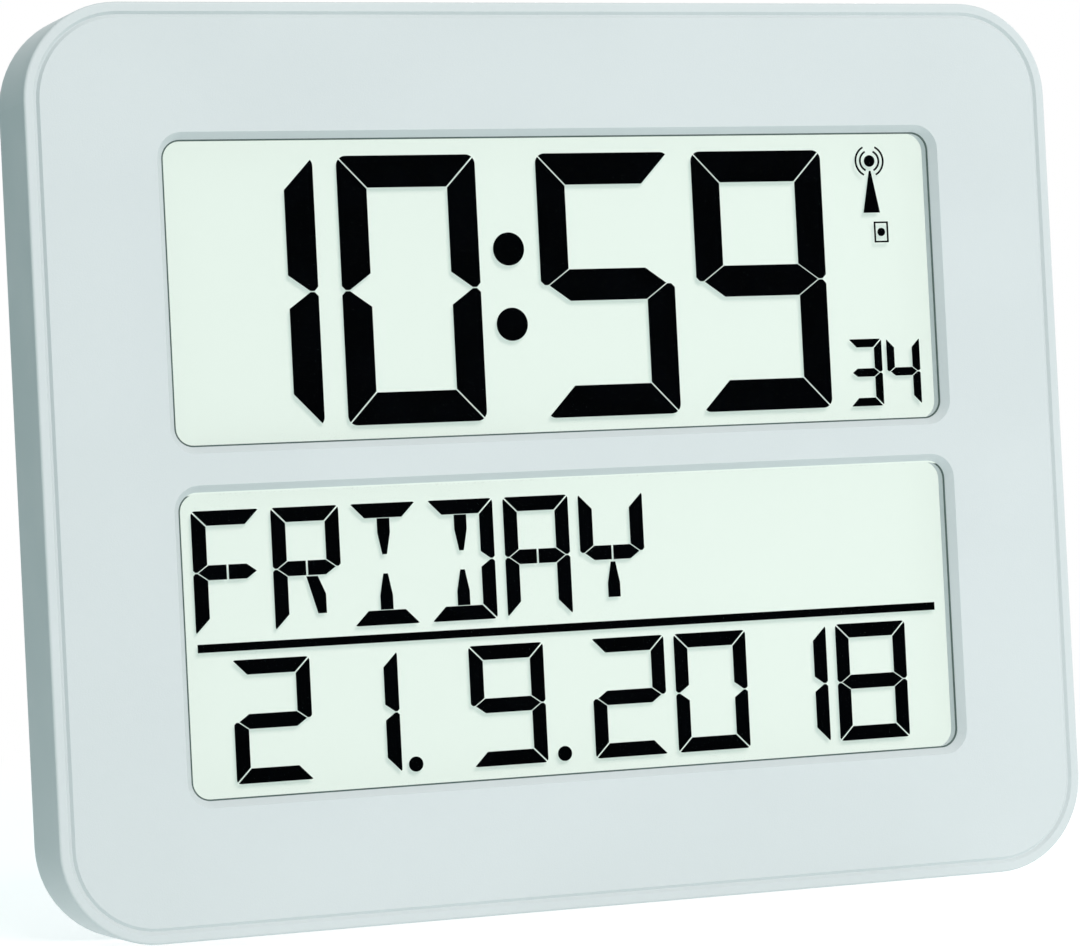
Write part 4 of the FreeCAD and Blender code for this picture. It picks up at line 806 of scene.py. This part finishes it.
def ridge(skin, path, width, height, sides=16, cap_steps=5):
    """Add a raised line that lies on a plane square to Y: along the path its section is the ellipse
    p + w/2 cos a n + h sin a Y, with n across the path, and both ends are drawn in as half ellipses."""
    path = np.array(path, float)
    ahead = np.gradient(path, axis=0)
    ahead /= np.linalg.norm(ahead, axis=1, keepdims=True)
    u = np.sin(np.linspace(0.0, math.pi / 2, cap_steps, endpoint=False))[1:]
    grow = np.sqrt(1.0 - u ** 2)
    reach = width / 2
    before = path[0] - ahead[0] * reach * u[::-1, None]
    after = path[-1] + ahead[-1] * reach * u[:, None]
    spine = np.vstack([before, path, after])
    scale = np.concatenate([grow[::-1], np.ones(len(path)), grow])
    heading = np.vstack([np.repeat(ahead[:1], len(u), axis=0), ahead, np.repeat(ahead[-1:], len(u), axis=0)])
    outwards = np.array([0.0, 1.0, 0.0])
    across = np.cross(heading, outwards)
    across /= np.linalg.norm(across, axis=1, keepdims=True)
    angle = np.linspace(0.0, 2 * math.pi, sides, endpoint=False)
    flat = reach * np.cos(angle)[None, :, None] * across[:, None]
    tall = height * np.sin(angle)[None, :, None] * outwards
    rings = spine[:, None] + scale[:, None, None] * (flat + tall)
    skin.add(rings, path[0] - ahead[0] * reach, path[-1] + ahead[-1] * reach)


def arc_path(centre_x, y, centre_z, radius, start, stop, steps=24):
    """Points of an arc in a plane square to Y, with its angles in degrees from +X towards +Z."""
    angle = np.radians(np.linspace(start, stop, steps))
    x, z = centre_x + radius * np.cos(angle), centre_z + radius * np.sin(angle)
    return np.stack([x, np.full(steps, y), z], axis=-1)


def line_path(y, x1, z1, x2, z2, steps=6):
    """Points of a straight line in a plane square to Y."""
    t = np.linspace(0.0, 1.0, steps)
    return np.stack([x1 + (x2 - x1) * t, np.full(steps, y), z1 + (z2 - z1) * t], axis=-1)


# Marks below the buttons

def clock_mark(skin, x, y, z, sizes):
    """Clock face with two hands, for the set button."""
    radius, long_hand, short_hand = sizes.size, sizes.size * 0.55, sizes.size * 0.42
    line = (sizes.line_width, sizes.line_height)
    ridge(skin, arc_path(x, y, z, radius, 0.0, 352.0, 40), *line)
    ridge(skin, line_path(y, x, z, x, z + long_hand), *line)
    ridge(skin, line_path(y, x, z, x - short_hand, z), *line)


def plus_mark(skin, x, y, z, sizes):
    """Plus sign, for the up button."""
    half = sizes.size
    minus_mark(skin, x, y, z, sizes)
    ridge(skin, line_path(y, x, z - half, x, z + half), sizes.line_width, sizes.line_height)


def minus_mark(skin, x, y, z, sizes):
    """Minus sign, for the down button."""
    half = sizes.size
    ridge(skin, line_path(y, x - half, z, x + half, z), sizes.line_width, sizes.line_height)


def signal_mark(skin, x, y, z, sizes):
    """Dot between two pairs of arcs, for the radio signal button."""
    dot, spread = sizes.line_width / 6, 42.0
    dot_width, arc_width = sizes.line_width * 1.3, sizes.line_width * 0.8
    ridge(skin, line_path(y, x - dot, z, x + dot, z), dot_width, sizes.line_height)
    for radius in (sizes.size * 0.6, sizes.size * 1.15):
        for middle in (0.0, 180.0):
            arc = arc_path(x, y, z, radius, middle - spread, middle + spread, 14)
            ridge(skin, arc, arc_width, sizes.line_height)


def reset_mark(skin, x, y, z, sizes):
    """Open circle with an arrow head, for the reset button."""
    radius, head = sizes.size * 0.8, sizes.size * 0.5
    line = (sizes.line_width * 0.8, sizes.line_height)
    ridge(skin, arc_path(x, y, z, radius, 60.0, 350.0, 30), *line)
    ridge(skin, line_path(y, x + radius, z, x + radius - head, z - head * 0.5), *line)
    ridge(skin, line_path(y, x + radius, z, x + radius + head * 0.5, z - head), *line)


MARK_OF_BUTTON = {"set_button": clock_mark, "up_button": plus_mark, "down_button": minus_mark,
                  "signal_button": signal_mark, "reset_button": reset_mark}


class DressCase(bpy.types.Operator):
    """Give the housings, the battery cover, the stand and the keys their moulded finish"""

    bl_idname = "dayclock.dress_case"
    bl_label = "Dress the case"

    def execute(self, context):
        dress(context.scene.day_clock, "housing_plastic", "button_plastic")
        cast_no_shadow(frame["nodes"]["front_housing"])
        give_no_bounce(frame["nodes"]["front_housing"])
        return {"FINISHED"}


class DressDisplays(bpy.types.Operator):
    """Give the lenses, seals, display glass, film and segments their finish"""

    bl_idname = "dayclock.dress_displays"
    bl_label = "Dress the displays"

    def execute(self, context):
        dress(context.scene.day_clock, "clear_lens", "seal_rubber", "display_glass", "reflector_film",
              "cell_sealant", "lit_segment")
        unshading = pieces_with_slots("clear_lens", "seal_rubber", "cell_sealant")
        unbouncing = pieces_with_slots("clear_lens", "cell_sealant", "reflector_film", "lit_segment")
        cast_no_shadow(*unshading.values())
        give_no_bounce(*unbouncing.values())
        return {"FINISHED"}


class AddDisplayGlass(bpy.types.Operator):
    """Cut the glass sheets of both displays, with ground edges, a hair clear of what they lie on"""

    bl_idname = "dayclock.add_display_glass"
    bl_label = "Add the display glass"

    corner: length("Corner", 0.0004, "Rounding of a sheet's corners")
    ground: length("Ground edge", 0.00015, "Width of the ground edge")
    hair: length("Hair", 0.00002, "Clearance between the sheets")

    def execute(self, context):
        material = finish_for("display_glass", context.scene.day_clock)
        for node in pieces_with_slots("display_glass"):
            skin = Skin()
            slab(skin, *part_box(node), self.corner, self.ground, 1, self.hair)
            sheet = place_piece(skin.build(node + "_sheet", 20.0), CLOCK, material, (node,))
            cast_no_shadow(sheet)
            give_no_bounce(sheet)
        return {"FINISHED"}


class DressWorks(bpy.types.Operator):
    """Give the boards, switches, antenna, leads, screws and contacts inside their finish"""

    bl_idname = "dayclock.dress_works"
    bl_label = "Dress the works"

    def execute(self, context):
        dress(context.scene.day_clock, "holder_plastic", "circuit_board", "chip_resin", "crystal_can",
              "capacitor_sleeve", "ceramic_part", "switch_plastic", "plunger_plastic", "contact_rubber",
              "screw_steel", "contact_nickel", "ferrite", "copper_winding", "lead_grey", "lead_red",
              "lead_black")
        return {"FINISHED"}


class AddButtonMarks(bpy.types.Operator):
    """Raise a plain mark on the back below each button"""

    bl_idname = "dayclock.add_button_marks"
    bl_label = "Add the button marks"

    def execute(self, context):
        settings = context.scene.day_clock
        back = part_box("rear_housing")[1].y
        skin = Skin()
        for button, draw in MARK_OF_BUTTON.items():
            low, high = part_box(button)
            draw(skin, (low.x + high.x) / 2, back, (low.z + high.z) / 2 - settings.marks.drop, settings.marks)
        finish = finish_for("housing_plastic", settings)
        place_piece(skin.build("button_marks"), CLOCK, finish)
        return {"FINISHED"}


class AddCoverGrip(bpy.types.Operator):
    """Raise the grip lines in the thumb dip of the battery cover, and an arrow below them"""

    bl_idname = "dayclock.add_cover_grip"
    bl_label = "Add the cover's grip"

    dip_radius: length("Dip radius", 0.009, "Radius of the thumb dip at the surface")
    dip_depth: length("Dip depth", 0.0008, "Depth of the thumb dip")
    dip_inset: length("Dip inset", 0.0077, "Distance of the dip's middle from the cover's upper edge")
    line_share: share("Line share", 0.72, "How much of the dip's width a grip line takes")
    arrow_height: share("Arrow height", 0.3, "Height of the arrow as a share of the cover's height")

    def execute(self, context):
        settings = context.scene.day_clock
        marks = settings.marks
        low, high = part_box("battery_cover")
        x, z, back = (low.x + high.x) / 2, high.z - self.dip_inset, high.y
        # The dip is part of a ball of radius (r^2 + d^2) / 2d, and the grip lines lie on it
        ball = (self.dip_radius ** 2 + self.dip_depth ** 2) / (2 * self.dip_depth)
        skin = Skin()
        first = -(marks.grip_count - 1) / 2
        for place_in_row in range(marks.grip_count):
            rise = (first + place_in_row) * marks.grip_pitch
            half = math.sqrt(self.dip_radius ** 2 - rise ** 2) * self.line_share
            line = line_path(back, x - half, z + rise, x + half, z + rise, 17)
            off_centre = (line[:, 0] - x) ** 2 + rise ** 2
            line[:, 1] = back - self.dip_depth + ball - np.sqrt(ball ** 2 - off_centre)
            ridge(skin, line, marks.line_width, marks.line_height)
        arrow_z = low.z + (high.z - low.z) * self.arrow_height
        arrow_half, arrow_drop = marks.size * 1.4, marks.size * 1.7
        corners = [(x - arrow_half, arrow_z), (x + arrow_half, arrow_z), (x, arrow_z - arrow_drop),
                   (x - arrow_half, arrow_z)]
        for (x1, z1), (x2, z2) in zip(corners, corners[1:]):
            ridge(skin, line_path(back, x1, z1, x2, z2), marks.line_width, marks.line_height)
        place_piece(skin.build("cover_grip"), "battery_cover",
                    finish_for("housing_plastic", settings))
        return {"FINISHED"}


class AddStandGrip(bpy.types.Operator):
    """Raise the grip lines near the free edge of the table stand"""

    bl_idname = "dayclock.add_stand_grip"
    bl_label = "Add the stand's grip"

    half_length: length("Half length", 0.012, "Half the length of a grip line")
    inset: length("Inset", 0.0035, "Distance of the first line from the stand's free edge")

    def execute(self, context):
        settings = context.scene.day_clock
        marks = settings.marks
        low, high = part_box("table_stand")
        x = (low.x + high.x) / 2
        skin = Skin()
        for place_in_row in range(marks.grip_count):
            z = high.z - self.inset - place_in_row * marks.grip_pitch
            ridge(skin, line_path(high.y, x - self.half_length, z, x + self.half_length, z),
                  marks.line_width, marks.line_height)
        place_piece(skin.build("stand_grip"), "table_stand",
                    finish_for("housing_plastic", settings))
        return {"FINISHED"}


class AddBatteries(bpy.types.Operator):
    """Turn the two round cells, each with its crimped ends, nub and sleeve"""

    bl_idname = "dayclock.add_batteries"
    bl_label = "Add the batteries"

    nub_radius: length("Nub radius", 0.00275, "Radius of the positive nub")
    nub_length: length("Nub length", 0.0015, "How far the nub stands out")
    rim: length("Rim", 0.0004, "Depth of the rolled edge of the sleeve at each end")
    rim_width: length("Rim width", 0.00084, "Width of that rolled edge")

    def execute(self, context):
        settings = context.scene.day_clock
        for node, positive in (("upper_battery", -1), ("lower_battery", 1)):
            low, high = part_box(node)
            reach, radius = high.x - low.x, (high.y - low.y) / 2
            shoulder, inner = self.nub_length, radius - self.rim_width
            outline = [(0.0, 0.0), (0.0, self.nub_radius), (shoulder + self.rim, self.nub_radius),
                       (shoulder + self.rim, inner), (shoulder, inner), (shoulder, radius), (reach, radius),
                       (reach, inner), (reach - self.rim, inner), (reach - self.rim, 0.0)]
            profile = rounded_profile(outline, settings.cells.crimp)
            profile[:, 0] = high.x - profile[:, 0] if positive > 0 else low.x + profile[:, 0]
            skin = Skin()
            turned(skin, profile, (low.y + high.y) / 2, (low.z + high.z) / 2)
            material = battery_sleeve(settings, node + "_sleeve", low, high, positive)
            place_piece(skin.build(node + "_cell"), CLOCK, material, (node,))
        return {"FINISHED"}


class AddContacts(bpy.types.Operator):
    """Wind the tapered springs of the battery contacts on their plates"""

    bl_idname = "dayclock.add_contacts"
    bl_label = "Add the spring contacts"

    base_radius: length("Base radius", 0.0042, "Radius of the widest turn, outside")
    top_radius: length("Top radius", 0.0026, "Radius of the narrowest turn, outside")
    plate: length("Plate", 0.0004, "Thickness of the contact plates")
    plate_radius: length("Plate corner", 0.0012, "Rounding of the plates' corners")
    plate_edge: share("Plate edge", 0.15, "Dulled edge of a plate as a share of its thickness")

    def execute(self, context):
        settings = context.scene.day_clock
        cells = settings.cells
        material = finish_for("contact_nickel", settings)
        for node, cell, side in (("battery_spring_contact", "lower_battery", 1),
                                 ("battery_bridge_contact", "upper_battery", -1)):
            low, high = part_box(node)
            cell_low, cell_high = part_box(cell)
            y, z = (cell_low.y + cell_high.y) / 2, (cell_low.z + cell_high.z) / 2
            back = low.x if side > 0 else high.x
            skin = Skin()
            ends = sorted((back, back + side * self.plate))
            slab(skin, (ends[0], low.y, low.z), (ends[1], high.y, high.z), self.plate_radius,
                 self.plate * self.plate_edge, 0)
            self.add_spring(skin, back + side * self.plate, high.x - low.x - self.plate, side, y, z, cells)
            place_piece(skin.build(node + "_wire"), CLOCK, material, (node,))
        return {"FINISHED"}

    def add_spring(self, skin, foot, reach, side, y, z, cells):
        """Tapered helix: the radius falls evenly with the turn, the climb is flat for the first and last half
        turn, so p(t) = (foot + side climb(t), y + r(t) cos a, z + r(t) sin a)."""
        half_wire = cells.wire / 2
        turns, points_per_turn, slack = cells.turns + 1.0, 30, 0.98
        t = np.linspace(0.0, 1.0, int(turns * points_per_turn))
        angle = 2 * math.pi * turns * t
        radius = self.base_radius - half_wire + (self.top_radius - self.base_radius) * t
        flat = 0.5 / turns
        climb = half_wire + (reach - cells.wire) * np.clip((t - flat) / (1 - 2 * flat), 0.0, 1.0)
        outward = np.stack([np.zeros(t.size), np.cos(angle), np.sin(angle)], axis=-1)
        path = np.array([foot, y, z]) + radius[:, None] * outward
        path[:, 0] += side * climb
        wire(skin, path, outward, half_wire * slack)


class AddWinding(bpy.types.Operator):
    """Wind the copper coil on the ferrite rod"""

    bl_idname = "dayclock.add_winding"
    bl_label = "Add the antenna winding"

    def execute(self, context):
        settings = context.scene.day_clock
        low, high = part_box("antenna_coil")
        rod_low, rod_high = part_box("ferrite_rod")
        y, z = (low.y + high.y) / 2, (low.z + high.z) / 2
        outer, inner = (high.z - low.z) / 2, (rod_high.z - rod_low.z) / 2
        pitch = settings.cells.winding
        sides, rings_per_turn = 48, 8
        steps = int((high.x - low.x) / pitch * rings_per_turn)
        angle = np.linspace(0.0, 2 * math.pi, sides, endpoint=False)
        x = np.linspace(low.x, high.x, steps)
        # One helix, closed by the bore: r = outer - pitch/2 (1 - sqrt |sin(pi (x - x0) / pitch - a/2)|)
        round_turns = np.abs(np.sin(math.pi * (x[:, None] - low.x) / pitch - angle / 2))
        radius = outer - pitch / 2 * (1.0 - np.sqrt(round_turns))
        bore = np.full((1, sides), inner)
        radius = np.vstack([bore, radius, bore])
        x = np.concatenate([[low.x], x, [high.x]])
        rings = np.stack([np.repeat(x[:, None], sides, axis=1), y + radius * np.cos(angle),
                          z + radius * np.sin(angle)], axis=-1)
        skin = Skin()
        skin.add(rings, looped=True)
        place_piece(skin.build("antenna_winding", 60.0), CLOCK,
                    finish_for("copper_winding", settings), ("antenna_coil",))
        return {"FINISHED"}


def shown_white(tree):
    """1 for rays that show the background itself: from the camera, in gloss, and through glass."""
    path = add(tree, "ShaderNodeLightPath")
    mirrored = math_node(tree, "MAXIMUM", path.outputs["Is Glossy Ray"], path.outputs["Is Transmission Ray"])
    return math_node(tree, "MAXIMUM", path.outputs["Is Camera Ray"], mirrored)


# Directions from the clock to the dark card and to the lamps

CARD_DIRECTION = (-0.866, 0.5, 0.0)
KEY_DIRECTION = (0.10, -0.79, 0.60)
BACK_DIRECTION = (0.50, 0.84, 0.14)

# The card's soft edge, as cosines of the angle from its direction, and the dim floor's, as metres towards it

CARD_EDGE, CARD_FULL = 0.34, 0.64
DIM_EDGE, DIM_FULL = 0.08, 0.25

# Where the floor begins to fade, as a share of its clear radius

FADE_START = 0.3

WHITE = (1.0, 1.0, 1.0)


def towards_card(tree, vector):
    """How far a vector goes towards the dark card."""
    node = add(tree, "ShaderNodeVectorMath", {0: vector, 1: CARD_DIRECTION}, operation="DOT_PRODUCT")
    return node.outputs["Value"]


def studio_world(studio):
    """Soft light from all round but the dark card, shown as plain white."""
    world = bpy.data.worlds.new("studio")
    world.use_nodes = True
    tree = world.node_tree
    background = tree.nodes["Background"]
    direction = add(tree, "ShaderNodeTexCoord").outputs["Generated"]
    dark = ranged(tree, towards_card(tree, direction), CARD_EDGE, CARD_FULL)
    soft = mixed(tree, dark, studio.soft_light, studio.card)
    feed(tree, background.inputs["Color"], mixed(tree, shown_white(tree), soft, WHITE))
    return world


def studio_lamp(name, studio, aim, direction, level, tint):
    """Large square lamp. A power of level pi^2 distance^2 lights a surface that faces it at that level."""
    light = bpy.data.lights.new(name, "AREA")
    light.shape = "SQUARE"
    light.size = studio.lamp_size
    light.color = tint
    light.energy = level * math.pi ** 2 * studio.lamp_distance ** 2
    lamp = bpy.data.objects.new(name, light)
    towards = Vector(direction).normalized()
    lamp.location = aim + towards * studio.lamp_distance
    lamp.rotation_euler = towards.to_track_quat("Z", "Y").to_euler()
    bpy.context.scene.collection.objects.link(lamp)


def floor_material(studio):
    """Pale floor that keeps the clock's shadow and fades into the white background further out. It is dimmer
    in front of the dark card, where more white is added to what is seen."""
    material = bpy.data.materials.new("floor")
    material.use_nodes = True
    tree = material.node_tree
    tree.nodes.remove(tree.nodes["Principled BSDF"])
    out = tree.nodes["Material Output"]
    tint = mixed(tree, noise(tree, 60.0, 3.0), studio.floor, darker(studio.floor, 0.97))
    dark = ranged(tree, towards_card(tree, place(tree)), DIM_EDGE, DIM_FULL)
    own = add(tree, "ShaderNodeBsdfDiffuse", {"Color": mixed(tree, dark, tint, studio.floor_dim)})
    away = add(tree, "ShaderNodeVectorMath", {0: place(tree)}, operation="LENGTH").outputs["Value"]
    far = ranged(tree, away, studio.floor_clear * FADE_START, studio.floor_clear)
    seen = shown_white(tree)
    glow = math_node(tree, "MULTIPLY", math_node(tree, "SUBTRACT", 1.0, dark), studio.floor_glow)
    raised = ranged(tree, dark, 0.0, 1.0, studio.floor_lift, studio.dim_lift, "LINEAR")
    shine = math_node(tree, "MAXIMUM", glow, math_node(tree, "MULTIPLY", seen, raised))
    lift = add(tree, "ShaderNodeEmission", {"Color": WHITE, "Strength": shine})
    near = add(tree, "ShaderNodeAddShader", {0: own.outputs["BSDF"], 1: lift.outputs["Emission"]})
    plain = add(tree, "ShaderNodeEmission", {"Color": WHITE})
    fade = math_node(tree, "MULTIPLY", far, seen)
    mix = add(tree, "ShaderNodeMixShader", {0: fade, 1: near.outputs["Shader"], 2: plain.outputs["Emission"]})
    feed(tree, out.inputs["Surface"], mix.outputs["Shader"])
    return material


class SetStage(bpy.types.Operator):
    """Put up the floor, the lamps, the white background and the camera"""

    bl_idname = "dayclock.set_stage"
    bl_label = "Set the stage"

    floor_half: length("Floor half side", 20.0, "Half the side of the floor")

    def execute(self, context):
        studio = context.scene.day_clock.studio
        scene = context.scene
        scene.view_settings.view_transform = "Standard"
        scene.world = studio_world(studio)
        half, drop = self.floor_half, CAD_LOW.z
        mesh = bpy.data.meshes.new("floor")
        mesh.from_pydata([(-half, -half, drop), (half, -half, drop), (half, half, drop), (-half, half, drop)],
                         [], [(0, 1, 2, 3)])
        floor = bpy.data.objects.new("floor", mesh)
        mesh.materials.append(floor_material(studio))
        scene.collection.objects.link(floor)
        aim = (CAD_LOW + CAD_HIGH) / 2
        studio_lamp("key_lamp", studio, aim, KEY_DIRECTION, studio.key_level, studio.key_tint)
        studio_lamp("back_lamp", studio, aim, BACK_DIRECTION, studio.back_level, studio.back_tint)
        camera = bpy.data.cameras.new("camera")
        camera.sensor_width = 36.0
        camera.lens = studio.lens
        camera.clip_start = 0.01
        viewer = bpy.data.objects.new("camera", camera)
        viewer.location = studio.camera_place
        viewer.rotation_euler = studio.camera_turn
        scene.collection.objects.link(viewer)
        scene.camera = viewer
        return {"FINISHED"}


STEPS = (DressCase, DressDisplays, AddDisplayGlass, DressWorks, AddButtonMarks, AddCoverGrip, AddStandGrip,
         AddBatteries, AddContacts, AddWinding, SetStage)


class DayClockPanel(bpy.types.Panel):
    """Settings and steps of the day clock"""

    bl_idname = "VIEW3D_PT_day_clock"
    bl_label = "Day Clock"
    bl_space_type = "VIEW_3D"
    bl_region_type = "UI"
    bl_category = "Day Clock"

    def draw(self, context):
        settings = context.scene.day_clock
        for group in (settings.case, settings.display, settings.marks, settings.cells, settings.studio):
            box = self.layout.box()
            for name in group.__annotations__:
                box.prop(group, name)
        for step in STEPS:
            self.layout.operator(step.bl_idname)


CLASSES = (CaseLook, DisplayLook, MarkSizes, CellLook, StudioSettings, DayClockSettings, *STEPS,
           DayClockPanel)


def register():
    """Register the settings, the steps and the panel."""
    for cls in CLASSES:
        bpy.utils.register_class(cls)
    bpy.types.Scene.day_clock = PointerProperty(type=DayClockSettings)


def unregister():
    """Remove what register added."""
    del bpy.types.Scene.day_clock
    for cls in reversed(CLASSES):
        bpy.utils.unregister_class(cls)


def main():
    """Register the add-on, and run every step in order."""
    register()
    for step in STEPS:
        group, name = step.bl_idname.split(".")
        getattr(getattr(bpy.ops, group), name)()
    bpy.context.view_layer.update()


if __name__ == "__main__":
    main()
